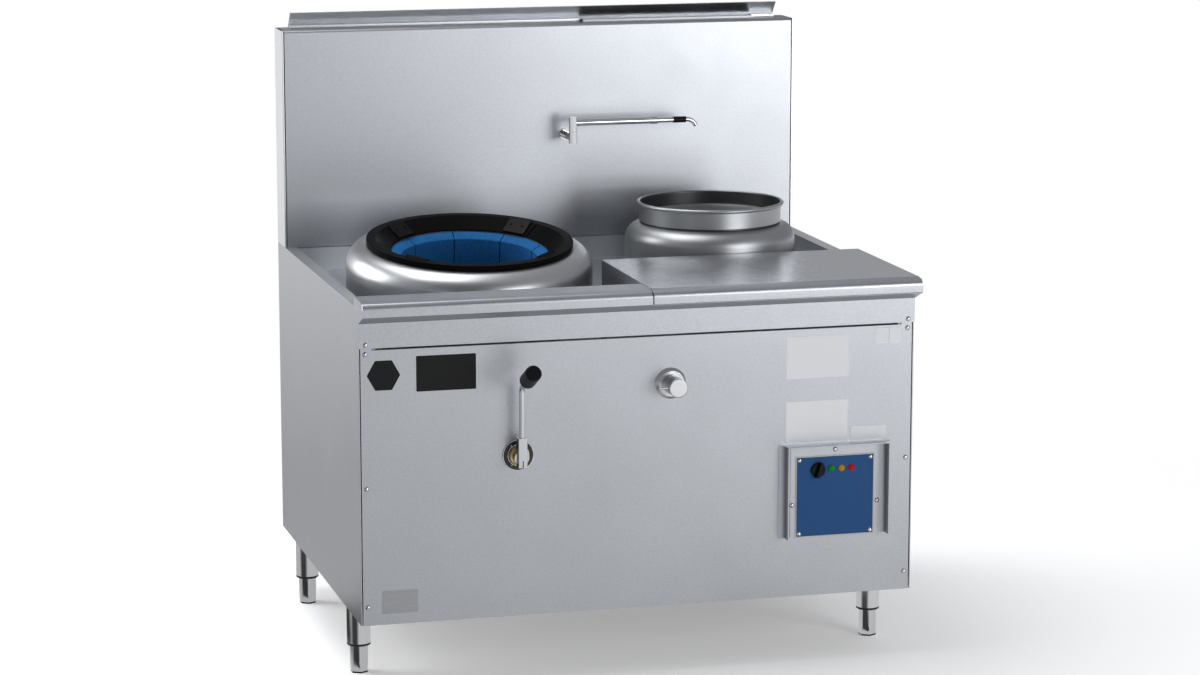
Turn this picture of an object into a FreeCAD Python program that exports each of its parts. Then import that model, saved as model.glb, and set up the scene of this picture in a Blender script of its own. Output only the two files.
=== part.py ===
import FreeCAD, Part
import math
import os
from FreeCAD import Vector

# Two-burner stainless wok range: a tilted wok burner on the left, a steamer on the right.
# Millimetres, +Z up, +Y to the back, +X to the right of a cook who stands in front.
# While it is built, Y = 0 is the face of the front panel; place_origin() moves the finished
# model so that the origin is the bottom centre of its box.

# ---------------------------------------------------------------- driving dimensions
# cabinet
WIDTH = 1200.0
DEPTH = 920.0
LEG_HEIGHT = 148.0
LEDGE_TOP = 812.0
SPLASH_TOP = 1300.0
SHEET = 1.5
CLEARANCE = 0.3
TOUCH_FIT = 0.05
EDGE_RETURN = 2.5
REAR_RETURN = 25.0
PANEL_GROOVE = 2.0
PANEL_RETURN = 20.0

# slot under the fascia strip
SLOT_HEIGHT = 5.0
SLOT_CENTRE_Z = 728.0
SLOT_END_INSET = 28.0

# fascia strip
FASCIA_TOP = 782.4
FASCIA_PROUD = 4.0
FASCIA_WRAP = 25.0

# front rail
RAIL_TOP = 832.0
RAIL_BACK = 38.0
RAIL_FLAT_FRONT = 24.0
RAIL_SLOPE_FRONT = 46.0
RAIL_SLOPE_DROP = 3.0
RAIL_REACH = 52.0
RAIL_NOSE_DROP = 11.0
RAIL_FACE_BOTTOM = 802.0
RAIL_BACK_FLANGE = 32.0
RAIL_RETURN = 26.0
RAIL_SKIRT_FOLD = 14.0
RAIL_SEAM_X = 9.5
RAIL_SEAM_GAP = 2.0

# sunken well
LEDGE_WIDTH = 28.0
WELL_FLOOR = 758.0
WELL_BACK_TOP = 809.5
WELL_BACK_FLANGE = 18.0
WELL_LIP_DROP = 12.0

# shelf cover over the front of the right side
SHELF_BACK_GAP = 5.0

# splashback
SPLASH_DEPTH = 90.0
SPLASH_GAP = 1.3
SPLASH_PLATE_INSET = 6.0
SPLASH_SIDE_RETURN = 4.0
SPLASH_EDGE_RADIUS = 6.0
SPLASH_FLANGE = 18.0

# flue outlet behind the steamer
FLUE_HALF_LENGTH = 204.0
FLUE_SHIFT = 6.0
FLUE_FRONT_DEPTH = 48.0
FLUE_DEPTH = 28.0
FLUE_LIP = 5.0
DEFLECTOR_END_INSET = 28.0
DEFLECTOR_STEP_DEPTH = 28.0
DEFLECTOR_STEP_HEIGHT = 6.0
DEFLECTOR_FOOT_DEPTH = 15.0
DEFLECTOR_LEAN = 28.0
DEFLECTOR_RISE = 30.0
PLENUM_DEPTH = 120.0
PLENUM_BOTTOM = 640.0
PLENUM_TOP = 745.0
PLENUM_END_MARGIN = 60.0
THROAT_WIDTH = 110.0
THROAT_HEIGHT = 56.0
THROAT_CENTRE_Z = 700.0

# legs and adjustable feet
LEG_TUBE_RADIUS = 25.5
LEG_TUBE_WALL = 2.0
LEG_SIDE_INSET = 30.0
LEG_FRONT_Y = 183.0
LEG_BACK_INSET = 142.0
LEG_RING_BOTTOM = 60.3
LEG_RING_HEIGHT = 3.5
LEG_PLATE = 4.0
LEG_PLATE_HALF = 40.0
FOOT_RADIUS = 19.3
FOOT_TOP = 100.0
FOOT_FLATS_BOTTOM = 33.0
FOOT_FLATS_FADE = 52.0
FOOT_SOLE_CHAMFER = 1.0

# base frame
TUBE = 30.0
FRAME_BOTTOM_GAP = 16.0

# left burner, turned about an axis that leans to the front
WOK_SIDE_INSET = 335.0
WOK_BACK_INSET = 488.0
WOK_RIM_Z = 878.4
WOK_TILT = 6.2
DOME_RADIUS = 267.8
DOME_BULGE = 43.7
DOME_SHEET = 2.0
DOME_NECK_RADIUS = 203.6
DOME_NECK_DROP = 14.0
WOK_RING_RADIUS = 224.3
WOK_RING_EDGE = 12.7
WOK_RING_CHAMFER = 3.5
WOK_RING_FLAT = 20.8
WOK_RING_THROAT = 169.9
WOK_RING_CONE_DROP = 24.0
WOK_RING_LIP = 2.4
WOK_RING_SLIT = 4.0
WOK_RING_SLIT_ANGLE = 60.0
LUG_COUNT = 4
LUG_FIRST_ANGLE = 47.5
LUG_WIDTH = 54.0
LUG_LENGTH = 40.0
LUG_RISE = 5.0
LUG_MIDDLE_RADIUS = 186.6
LUG_BOLT_PITCH = 30.0
LUG_BOLT_RADIUS = 3.0
LUG_BOLT_LENGTH = 9.0
LUG_BOLT_SINK = 2.5
BRICK_COUNT = 9
BRICK_GAP = 1.6
BRICK_TOP_DROP = 29.0
BRICK_OUTER_RADIUS = 187.0
BRICK_INNER_RADIUS = 148.0
BRICK_BEVEL_DROP = 11.0
BRICK_BEVEL_INSET = 2.0
BRICK_HEIGHT = 130.0
CHAMBER_WALL = 3.0
CHAMBER_DEPTH = 240.0
CHAMBER_FLANGE = 2.0
CHAMBER_BURNER_HOLE = 84.0
CHAMBER_FLOOR_GAP = 30.0
BRICK_SHELF = 3.0
BRICK_SHELF_RADIUS = 166.0
SPIDER_ARM_COUNT = 3
SPIDER_REACH = 98.0
SPIDER_WIDTH = 14.0
SPIDER_THICKNESS = 6.0
JET_HEAD_RADIUS = 58.0
MIXER_RADIUS = 17.0
MIXER_END = 350.0
JET_HEAD_BELOW = 30.0
JET_HEAD_ABOVE = 22.0
JET_HEAD_SHOULDER = 6.0
JET_HEAD_SLOPE = 10.0
JET_COUNTS = (6, 12)
JET_RING_RADII = (18.0, 38.0)
JET_RADIUS = 5.0
JET_HEIGHT = 14.0
PILOT_RADIUS = 4.0
PILOT_HOOD_RADIUS = 7.0
PILOT_HOOD = 12.0
WOK_PILOT_RADIUS = 71.0
WOK_PILOT_HEIGHT = 34.0

# right burner
STEAMER_SIDE_INSET = 284.0
STEAMER_BACK_INSET = 364.0
STEAMER_DOME_RADIUS = 190.0
STEAMER_BULGE = 35.0
STEAMER_DOME_TOP = 876.5
STEAMER_NECK_RADIUS = 140.0
STEAMER_NECK_DROP = 16.0
COLLAR_RADIUS = 158.3
COLLAR_WALL = 2.0
COLLAR_BOTTOM_GAP = 3.5
COLLAR_TOP = 924.2
COLLAR_BEAD = 4.4
COLLAR_STEP = 4.0
PAN_RIM_Z = 894.5
PAN_SIDE_CLEARANCE = 1.2
PAN_SHOULDER = 6.0
PAN_DISH_RADIUS = 118.0
PAN_DISH_DROP = 9.0
PAN_CENTRE_RADIUS = 46.0
PAN_CENTRE_RISE = 6.0
STEAMER_CHAMBER_RADIUS = 128.0
STEAMER_CHAMBER_BOTTOM = 640.0
STEAMER_FLOOR_GAP = 20.0
STEAMER_BURNER_RADIUS = 86.0
STEAMER_BURNER_TUBE = 13.0
STEAMER_BURNER_Z = 700.0
STEAMER_BURNER_ARM = 9.0
STEAMER_BURNER_FEED = 12.0
STEAMER_BURNER_DROP = 60.0
STEAMER_BURNER_LEG = 4.0
STEAMER_BURNER_LEG_COUNT = 3
STEAMER_FEED_HOLE = 40.0
STEAMER_PILOT_REACH = 62.0
STEAMER_PILOT_HEIGHT = 40.0
COLLAR_SPIGOT = 12.0

# gas valve and its hand lever
VALVE_SIDE_INSET = 334.2
VALVE_Z = 491.0
DIAL_RADIUS = 33.0
DIAL_THICKNESS = 3.0
PANEL_HOLE = 22.5
VALVE_RADIUS = 20.0
VALVE_HEX_PROUD = 3.0
VALVE_FRONT = 16.0
VALVE_NOSE = 30.0
VALVE_LENGTH = 90.0
SPINDLE_RADIUS = 4.5
SPINDLE_LENGTH = 60.0
BLOCK_WIDTH = 19.0
BLOCK_BELOW = 19.0
BLOCK_ABOVE = 43.0
BLOCK_FRONT = 44.0
BLOCK_THICKNESS = 20.0
BLOCK_SLIT = 2.0
BLOCK_EDGE = 1.5
BLOCK_HUB_RADIUS = 15.5
BLOCK_HUB_BACK = 18.0
ROD_RADIUS = 6.0
ROD_SETBACK = 7.5
ROD_BEND_Z = 149.0
ROD_BEND_RADIUS = 16.0
ROD_SOCKET = 16.0
GRIP_RISE_ANGLE = 26.0
GRIP_START = 50.0
GRIP_LENGTH = 62.0
GRIP_RADIUS = 17.0
GRIP_EDGE = 2.0
GRIP_SOCKET = 30.0

# water valve with its round knob
WATER_SIDE_INSET = 537.2
WATER_Z = 625.4
FLANGE_RADIUS = 33.0
FLANGE_DEPTH = 9.0
FLANGE_RIM = 2.0
FLANGE_FACE_RADIUS = 27.0
KNOB_RADIUS = 20.0
KNOB_FRONT = 60.0
KNOB_BACK = 10.0
KNOB_EDGE = 1.5
STEM_RADIUS = 9.0
STEM_LENGTH = 52.0
PIN_RADIUS = 2.0
PIN_REACH = 40.0
PIN_Y = 50.0
PIN_SOCKET = 10.0
WATER_BODY_RADIUS = 17.0
WATER_BODY_LENGTH = 70.0

# control box
CONTROL_SIDE_INSET = 173.7
CONTROL_BOTTOM = 278.0
CONTROL_TOP = 478.0
CHEEK_HALF_SPAN = 112.3
CHEEK_REACH = 30.0
CHEEK_SHEET = 2.0
CHEEK_COVE = 12.0
CHEEK_COVE_EDGE = 0.8
CONTROL_PLATE = 2.0
PANEL_WINDOW = 124.0
PANEL_WINDOW_RISE = 18.0
FACE_SIZE = 175.5
FACE_CENTRE_Z = 364.0
FACE_THICKNESS = 1.5
FACE_CORNER_SCREW = 8.0
PLATE_SCREW_REACH = 95.0
PLATE_SCREW_DROP = 16.5
PLATE_TOP_SCREW = 100.0
SELECTOR_X = -38.6
SELECTOR_Z = 57.5
SELECTOR_RADIUS = 15.8
SELECTOR_SKIRT = 5.0
SELECTOR_BAR_WIDTH = 10.0
SELECTOR_BAR_LENGTH = 35.0
SELECTOR_BAR_HEIGHT = 16.0
SELECTOR_REST_ANGLE = 18.0
SELECTOR_SHAFT = 3.0
SELECTOR_SHAFT_LENGTH = 20.0
SWITCH_SIZE = 36.0
SWITCH_DEPTH = 44.0
LAMP_COUNT = 3
LAMP_FIRST_X = -8.6
LAMP_PITCH = 22.5
LAMP_Z = 59.0
LAMP_RADIUS = 6.6
LAMP_BODY_RADIUS = 5.5
LAMP_RIM = 1.6
LAMP_PROUD = 4.4
LAMP_BODY = 40.0
BOX_DEPTH = 86.0
BOX_HALF_WIDTH = 86.0
BOX_BOTTOM = 268.0
BOX_TOP = 462.0

# swivel tap on the splashback
TAP_X = 53.0
TAP_STANDOFF = 70.0
TAP_RISER_BELOW = 12.0
TAP_RISER_ABOVE = 48.0
TAP_SPLIT_ABOVE = 15.0
TAP_RISER_RADIUS = 9.2
TAP_STUB_Z = 1047.0
TAP_STUB_RADIUS = 8.0
TAP_ROSE_RADIUS = 14.0
TAP_ROSE = 4.0
TAP_STUB_BEHIND = 20.0
TAP_SPIGOT_RADIUS = 6.0
TAP_SPIGOT_LENGTH = 20.0
TAP_ARM_ABOVE = 35.0
TAP_ARM_RADIUS = 7.0
TAP_ARM_END = 182.0
TAP_COLLAR_RADIUS = 8.0
TAP_COLLAR_LENGTH = 16.0
TAP_THIN_RADIUS = 5.8
TAP_SLEEVE_START = 236.0
TAP_SLEEVE_LENGTH = 30.0
TAP_SLEEVE_RADIUS = 7.0
TAP_NOZZLE_RADIUS = 5.2
TAP_NOZZLE_WALL = 1.0
TAP_THIN_SOCKET = 8.0
TAP_NOZZLE_SOCKET = 10.0
TAP_NOZZLE_STRAIGHT = 2.0
TAP_NOZZLE_TIP = 3.0
TAP_NOZZLE_BEND = 24.0
TAP_NOZZLE_ANGLE = 62.0

# fasteners
SCREW_HEAD_RADIUS = 5.4
SCREW_HEAD = 2.8
SCREW_SHANK = 2.0
SCREW_LENGTH = 9.0
SCREW_SIDE_INSET = 14.5
SCREW_HEIGHTS = (717.9, 437.0, 187.0)
FASCIA_SCREW_Z = 737.8

# gas pipework
PIPE_RADIUS = 10.0
BRANCH_RADIUS = 6.0
BRANCH_SOCKET = 12.0
PIPE_BEND = 20.0
INLET_SIDE_INSET = 130.0
INLET_BACK_INSET = 70.0
INLET_Z = 172.0
INLET_RADIUS = 16.5
INLET_LENGTH = 26.0
INLET_BORE = 10.0
INLET_BORE_DEPTH = 20.0
MANIFOLD_Y = 150.0
FEED_Z = 420.0
FEED_Y = 60.0

# water pipework
WATER_PIPE_RADIUS = 6.0
WATER_INLET_SIDE_INSET = 200.0
WATER_INLET_RADIUS = 13.0
WATER_INLET_BORE = 7.5
WATER_PORT_Y = 52.0
WATER_PORT = 20.0
WATER_PORT_WALL = 2.0
WATER_PIPE_LOW_Z = 540.0
WATER_PIPE_BACK_INSET = 11.0

# ---------------------------------------------------------------- dimensions that follow
HALF = WIDTH / 2
PANEL_TOP = LEDGE_TOP - SHEET
SLOT_BOTTOM = SLOT_CENTRE_Z - SLOT_HEIGHT / 2
SLOT_TOP = SLOT_CENTRE_Z + SLOT_HEIGHT / 2
PANEL_HALF = HALF - EDGE_RETURN - PANEL_GROOVE
WELL_HALF = HALF - LEDGE_WIDTH
WELL_FRONT = RAIL_BACK - SHEET
SHELF_LEFT = RAIL_SEAM_X + RAIL_SEAM_GAP
LEG_X = HALF - LEG_SIDE_INSET
FRAME_BOTTOM = LEG_HEIGHT + FRAME_BOTTOM_GAP
POST_OUTER = PANEL_HALF - SHEET
POST_TOP = WELL_FLOOR - SHEET
SPLASH_FRONT = DEPTH - SPLASH_DEPTH
WELL_BACK = SPLASH_FRONT
FLUE_FRONT = DEPTH - FLUE_FRONT_DEPTH
DEFLECTOR_HALF_LENGTH = HALF - DEFLECTOR_END_INSET
DEFLECTOR_STEP_FRONT = DEPTH - DEFLECTOR_STEP_DEPTH
DEFLECTOR_FOOT = DEPTH - DEFLECTOR_FOOT_DEPTH
PLENUM_FRONT = DEPTH - PLENUM_DEPTH
LEG_BACK_Y = DEPTH - LEG_BACK_INSET
WOK_X = -HALF + WOK_SIDE_INSET
WOK_Y = DEPTH - WOK_BACK_INSET
STEAMER_X = HALF - STEAMER_SIDE_INSET
STEAMER_Y = DEPTH - STEAMER_BACK_INSET
SHELF_REAR = STEAMER_Y - STEAMER_DOME_RADIUS - SHELF_BACK_GAP
CONTROL_X = HALF - CONTROL_SIDE_INSET
VALVE_X = -HALF + VALVE_SIDE_INSET
WATER_X = HALF - WATER_SIDE_INSET
INLET_X = HALF - INLET_SIDE_INSET
INLET_Y = DEPTH - INLET_BACK_INSET
WATER_INLET_X = HALF - WATER_INLET_SIDE_INSET
WATER_PIPE_REAR_Y = DEPTH - WATER_PIPE_BACK_INSET
TAP_RISER_BOTTOM = TAP_STUB_Z - TAP_RISER_BELOW
TAP_RISER_SPLIT = TAP_STUB_Z + TAP_SPLIT_ABOVE
TAP_RISER_TOP = TAP_STUB_Z + TAP_RISER_ABOVE
TAP_ARM_Z = TAP_STUB_Z + TAP_ARM_ABOVE
FLUE_LEFT = STEAMER_X - FLUE_SHIFT - FLUE_HALF_LENGTH
FLUE_RIGHT = FLUE_LEFT + 2 * FLUE_HALF_LENGTH
CHAMBER_RADIUS = BRICK_OUTER_RADIUS + CLEARANCE + CHAMBER_WALL
WOK_RING_SEAT = WOK_RING_EDGE + CLEARANCE
DOME_SKIRT = WOK_RIM_Z - WELL_FLOOR + DOME_RADIUS * math.sin(math.radians(WOK_TILT))
WOK_FLOOR_HOLE = CHAMBER_RADIUS + CHAMBER_FLOOR_GAP
STEAMER_FLOOR_HOLE = STEAMER_CHAMBER_RADIUS + STEAMER_FLOOR_GAP
CONTROL_FACE_Y = -CONTROL_PLATE - FACE_THICKNESS
GRIP_TILT = math.radians(GRIP_RISE_ANGLE)
ROD_Y = -BLOCK_FRONT + ROD_SETBACK
GRIP_END_Y = ROD_Y - (GRIP_START + GRIP_LENGTH) * math.cos(GRIP_TILT)
FRONT_MOST = GRIP_END_Y - GRIP_RADIUS * math.sin(GRIP_TILT)
ORIGIN_SHIFT = Vector(0, -(FRONT_MOST + DEPTH) / 2, 0)
UP = Vector(0, 0, 1)
BACK = Vector(0, 1, 0)
RIGHT = Vector(1, 0, 0)


# ---------------------------------------------------------------- shape helpers
def block(x0, x1, y0, y1, z0, z1):
    """A box between two corners."""
    return Part.makeBox(x1 - x0, y1 - y0, z1 - z0, Vector(x0, y0, z0))


def rod(radius, start, direction, length):
    """A cylinder that starts at a point."""
    return Part.makeCylinder(radius, length, start, direction)


def outline(points):
    """A closed wire; a point with four values is the end of an arc through the last two."""
    edges = []
    last = points[-1][:2]
    for point in points:
        start = Vector(last[0], last[1], 0)
        end = Vector(point[0], point[1], 0)
        if len(point) == 4:
            middle = Vector(point[2], point[3], 0)
            edges.append(Part.Arc(start, middle, end).toShape())
        else:
            edges.append(Part.makeLine(start, end))
        last = point[:2]
    return Part.Wire(edges)


def prism(points, axis, start, end):
    """An outline pushed along an axis: (y, z) for X, (x, z) for Y and (x, y) for Z."""
    face = Part.Face(outline(points))
    if axis == "X":
        face.transformShape(FreeCAD.Matrix(0, 0, 1, start, 1, 0, 0, 0, 0, 1, 0, 0))
        return face.extrude(RIGHT * (end - start))
    if axis == "Y":
        face.transformShape(FreeCAD.Matrix(1, 0, 0, 0, 0, 0, -1, start, 0, 1, 0, 0))
        return face.extrude(BACK * (end - start))
    face.translate(UP * start)
    return face.extrude(UP * (end - start))


def offset_path(points, distance):
    """The path moved to its left by a distance, with mitred corners."""
    moved = []
    for i, (u, v) in enumerate(points):
        normals = []
        if i > 0:
            normals.append(left_normal(points[i - 1], points[i]))
        if i < len(points) - 1:
            normals.append(left_normal(points[i], points[i + 1]))
        nu = sum(n[0] for n in normals) / len(normals)
        nv = sum(n[1] for n in normals) / len(normals)
        stretch = distance / (nu * nu + nv * nv)
        moved.append((u + nu * stretch, v + nv * stretch))
    return moved


def left_normal(start, end):
    """The unit vector to the left of a run."""
    du = end[0] - start[0]
    dv = end[1] - start[1]
    length = math.hypot(du, dv)
    return (-dv / length, du / length)


def folded(points, axis, start, end, thickness=SHEET):
    """Folded sheet: a path with its thickness to the left, pushed along an axis."""
    inner = offset_path(points, thickness)
    return prism(list(points) + inner[::-1], axis, start, end)


def turned(points, x, y, z=0.0, tilt=0.0):
    """An (r, z) outline turned about the upright at x, y, then leant to the front."""
    face = Part.Face(outline(points))
    face.rotate(Vector(0, 0, 0), RIGHT, 90)
    solid = face.revolve(Vector(0, 0, 0), UP, 360)
    solid.rotate(Vector(0, 0, 0), RIGHT, tilt)
    solid.translate(Vector(x, y, z))
    return solid


def facing_front(profile, x, z):
    """Turn an (r, reach) outline about the line to the front through x, z."""
    shape = turned(profile, 0, 0)
    shape.rotate(Vector(0, 0, 0), RIGHT, 90)
    shape.translate(Vector(x, 0, z))
    return shape


def domed(radius, rim, crown):
    """The last point of an outline whose rim runs up to the axis in a spherical cap."""
    rise = crown - rim
    ball = (radius ** 2 + rise ** 2) / (2 * rise)
    half_angle = math.asin(radius / ball) / 2
    return (0, crown, ball * math.sin(half_angle), crown - ball + ball * math.cos(half_angle))


def swept(points, radius, bend):
    """A round bar along straight runs whose corners are arcs of one radius."""
    edges = []
    last = points[0]
    for i in range(1, len(points) - 1):
        arrive = (points[i] - points[i - 1]).normalize()
        leave = (points[i + 1] - points[i]).normalize()
        half_turn = arrive.getAngle(leave) / 2
        back_off = bend * math.tan(half_turn)
        start = points[i] - arrive * back_off
        end = points[i] + leave * back_off
        inward = (leave - arrive).normalize()
        centre = points[i] + inward * (bend / math.cos(half_turn))
        edges.append(Part.makeLine(last, start))
        edges.append(Part.Arc(start, centre - inward * bend, end).toShape())
        last = end
    edges.append(Part.makeLine(last, points[-1]))
    first_run = (points[1] - points[0]).normalize()
    section = Part.Wire(Part.makeCircle(radius, points[0], first_run))
    return Part.Wire(edges).makePipeShell([section], True, False)


def mirrored(shape):
    """The same piece for the other side of the range."""
    return shape.mirror(Vector(0, 0, 0), RIGHT)


def fused(shapes):
    """Several shapes welded into one solid."""
    whole = shapes[0]
    for shape in shapes[1:]:
        whole = whole.fuse(shape)
    return whole.removeSplitter()


def polygon(count, across_flats, turn=0.0):
    """Corner points of a regular polygon."""
    radius = across_flats / 2 / math.cos(math.pi / count)
    corners = []
    for i in range(count):
        angle = 2 * math.pi * i / count + turn
        corners.append((radius * math.cos(angle), radius * math.sin(angle)))
    return corners


def place_origin(shape):
    """Move a finished shape into the frame whose origin is the bottom centre."""
    moved = shape.copy()
    moved.translate(ORIGIN_SHIFT)
    return moved


# ---------------------------------------------------------------- cabinet
def side_panel():
    """Left cabinet side: one sheet, a narrow return at the front and a wide one behind."""
    path = [(-HALF + REAR_RETURN, DEPTH - SHEET), (-HALF, DEPTH - SHEET),
            (-HALF, 0), (-HALF + EDGE_RETURN, 0)]
    panel = folded(path, "Z", LEG_HEIGHT, PANEL_TOP)
    notch = block(-HALF - 1, -HALF + EDGE_RETURN + 1, -1, FASCIA_WRAP, SLOT_TOP, FASCIA_TOP)
    return panel.cut(notch)


def screw_holes(face_y, x, z):
    """A clearance hole for one panel screw."""
    return rod(SCREW_SHANK + TOUCH_FIT, Vector(x, face_y - 1, z), BACK, SCREW_LENGTH + 1)


def front_panel():
    """Screwed front cover with the slot above it and holes for the three controls."""
    path = [(-PANEL_HALF, PANEL_RETURN), (-PANEL_HALF, 0), (PANEL_HALF, 0), (PANEL_HALF, PANEL_RETURN)]
    panel = folded(path, "Z", LEG_HEIGHT, SLOT_TOP)
    lip = block(-PANEL_HALF + SHEET, PANEL_HALF - SHEET, 0, PANEL_RETURN, LEG_HEIGHT, LEG_HEIGHT + SHEET)
    slot_end = HALF - SLOT_END_INSET
    lip_end = POST_OUTER - TUBE - CLEARANCE
    slot_lip = block(-lip_end, lip_end, 0, PANEL_RETURN / 2, SLOT_BOTTOM - SHEET, SLOT_BOTTOM)
    panel = fused([panel, lip, slot_lip])
    panel = panel.cut(block(-slot_end, slot_end, -1, SHEET + 1, SLOT_BOTTOM, SLOT_TOP + 1))
    panel = panel.cut(rod(PANEL_HOLE, Vector(VALVE_X, -1, VALVE_Z), BACK, SHEET + 2))
    panel = panel.cut(rod(WATER_BODY_RADIUS + CLEARANCE, Vector(WATER_X, -1, WATER_Z), BACK, SHEET + 2))
    window = PANEL_WINDOW / 2
    window_z = FACE_CENTRE_Z + PANEL_WINDOW_RISE
    panel = panel.cut(block(CONTROL_X - window, CONTROL_X + window, -1, SHEET + 1,
                            window_z - window, window_z + window))
    for side in (-1, 1):
        for z in SCREW_HEIGHTS:
            panel = panel.cut(screw_holes(0, side * (HALF - SCREW_SIDE_INSET), z))
    for x, z in plate_screws() + face_screws():
        panel = panel.cut(rod(SCREW_SHANK + TOUCH_FIT, Vector(x, -1, z), BACK, SHEET + 2))
    return panel


def fascia():
    """Strip above the slot that wraps round both front corners."""
    path = [(-HALF, FASCIA_WRAP), (-HALF, -FASCIA_PROUD), (HALF, -FASCIA_PROUD), (HALF, FASCIA_WRAP)]
    strip = folded(path, "Z", SLOT_TOP, FASCIA_TOP)
    for side in (-1, 1):
        x = side * (HALF - SCREW_SIDE_INSET)
        strip = strip.cut(screw_holes(-FASCIA_PROUD, x, FASCIA_SCREW_Z))
    return strip


def nose_path():
    """Top, slope, rounded nose and vertical face of the rail, from back to front."""
    return [(-RAIL_FLAT_FRONT, RAIL_TOP),
            (-RAIL_SLOPE_FRONT, RAIL_TOP - RAIL_SLOPE_DROP),
            (-RAIL_REACH, RAIL_TOP - RAIL_NOSE_DROP)]


def rail_end(back):
    """Outline of the rail's end, from its back edge over the nose and under to the fascia."""
    return [(0, LEDGE_TOP), (back, LEDGE_TOP), (back, RAIL_TOP)] + nose_path() \
        + [(-RAIL_REACH, RAIL_FACE_BOTTOM), (-FASCIA_PROUD, FASCIA_TOP), (0, FASCIA_TOP)]


def front_rail():
    """Fixed front rail; its right half is drawn in to carry the shelf cover's nose."""
    bevel = [(-FASCIA_PROUD, FASCIA_TOP), (RAIL_RETURN, FASCIA_TOP)]
    head = [(RAIL_BACK, RAIL_TOP - RAIL_BACK_FLANGE), (RAIL_BACK, RAIL_TOP)] + nose_path()
    full = head + [(-RAIL_REACH, RAIL_FACE_BOTTOM)] + bevel
    left = folded(full, "X", -HALF, RAIL_SEAM_X)
    inset = SHEET + CLEARANCE
    low = offset_path(head + [(-RAIL_REACH, RAIL_FACE_BOTTOM)], inset)
    low[0] = (RAIL_BACK, RAIL_TOP - RAIL_BACK_FLANGE)
    low[1] = (RAIL_BACK, RAIL_TOP - inset)
    low[-1] = (-RAIL_REACH + inset, RAIL_FACE_BOTTOM - inset)
    skirt_top = RAIL_FACE_BOTTOM - CLEARANCE
    bearer = folded(low, "X", RAIL_SEAM_X, HALF - inset)
    skirt = folded([(-RAIL_REACH + RAIL_SKIRT_FOLD, skirt_top), (-RAIL_REACH, skirt_top)] + bevel,
                   "X", RAIL_SEAM_X, HALF)
    left_cap = prism(rail_end(RAIL_BACK), "X", -HALF, -HALF + SHEET)
    seam_cap = prism(rail_end(WELL_FRONT - SHEET), "X", RAIL_SEAM_X - SHEET, RAIL_SEAM_X)
    under_nose = [(0, skirt_top), (-RAIL_REACH, skirt_top), (-FASCIA_PROUD, FASCIA_TOP), (0, FASCIA_TOP)]
    right_cap = prism(under_nose, "X", HALF - SHEET, HALF)
    rail = fused([left, left_cap, seam_cap, bearer, skirt, right_cap])
    for side in (-1, 1):
        under_ledge = block(-LEDGE_WIDTH - 1, LEDGE_WIDTH + 1, 0, RAIL_BACK + 1, 0, LEDGE_TOP)
        under_ledge.translate(RIGHT * side * HALF)
        rail = rail.cut(under_ledge)
    return rail


def deck_well():
    """One pressed tray: floor, four walls and the two flat side ledges."""
    x = WELL_HALF + SHEET
    floor = block(-x, x, WELL_FRONT - SHEET, WELL_BACK + SHEET, WELL_FLOOR - SHEET, WELL_FLOOR)
    front = block(-x, x, WELL_FRONT - SHEET, WELL_FRONT, WELL_FLOOR - SHEET, RAIL_TOP - WELL_LIP_DROP)
    back = block(-x, x, WELL_BACK, WELL_BACK + SHEET, WELL_FLOOR - SHEET, WELL_BACK_TOP)
    flange = block(-x, x, WELL_BACK, WELL_BACK + WELL_BACK_FLANGE, WELL_BACK_TOP - SHEET, WELL_BACK_TOP)
    wall = block(-x, -WELL_HALF, WELL_FRONT - SHEET, WELL_BACK + SHEET, WELL_FLOOR - SHEET, LEDGE_TOP)
    ledge = block(-HALF, -WELL_HALF, 0, DEPTH - SHEET, PANEL_TOP, LEDGE_TOP)
    tray = fused([floor, front, back, flange, wall, ledge, mirrored(wall), mirrored(ledge)])
    hole = rod(WOK_FLOOR_HOLE, Vector(WOK_X, WOK_Y, WELL_FLOOR - 2 * SHEET), UP, 4 * SHEET)
    tray = tray.cut(hole)
    hole = rod(STEAMER_FLOOR_HOLE, Vector(STEAMER_X, STEAMER_Y, WELL_FLOOR - 2 * SHEET), UP, 4 * SHEET)
    return tray.cut(hole)


def shelf_cover():
    """Lift-off shelf: top, folded nose, right flange and a left flange down to the well floor."""
    path = [(SHELF_REAR, LEDGE_TOP + CLEARANCE), (SHELF_REAR, RAIL_TOP)] + nose_path() \
        + [(-RAIL_REACH, RAIL_FACE_BOTTOM)]
    sheet = folded(path, "X", SHELF_LEFT, HALF)
    left = block(SHELF_LEFT, SHELF_LEFT + SHEET, RAIL_BACK + CLEARANCE, SHELF_REAR,
                 WELL_FLOOR + CLEARANCE, RAIL_TOP)
    right = block(HALF - SHEET, HALF, 0, SHELF_REAR, LEDGE_TOP + CLEARANCE, RAIL_TOP)
    back = -CLEARANCE
    low = LEDGE_TOP + CLEARANCE
    end = [(back, RAIL_FACE_BOTTOM), (back, low), (0, low), (0, RAIL_TOP)] + nose_path()
    nose = prism(end + [(-RAIL_REACH, RAIL_FACE_BOTTOM)], "X", HALF - SHEET, HALF)
    return fused([sheet, left, right, nose])


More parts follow.
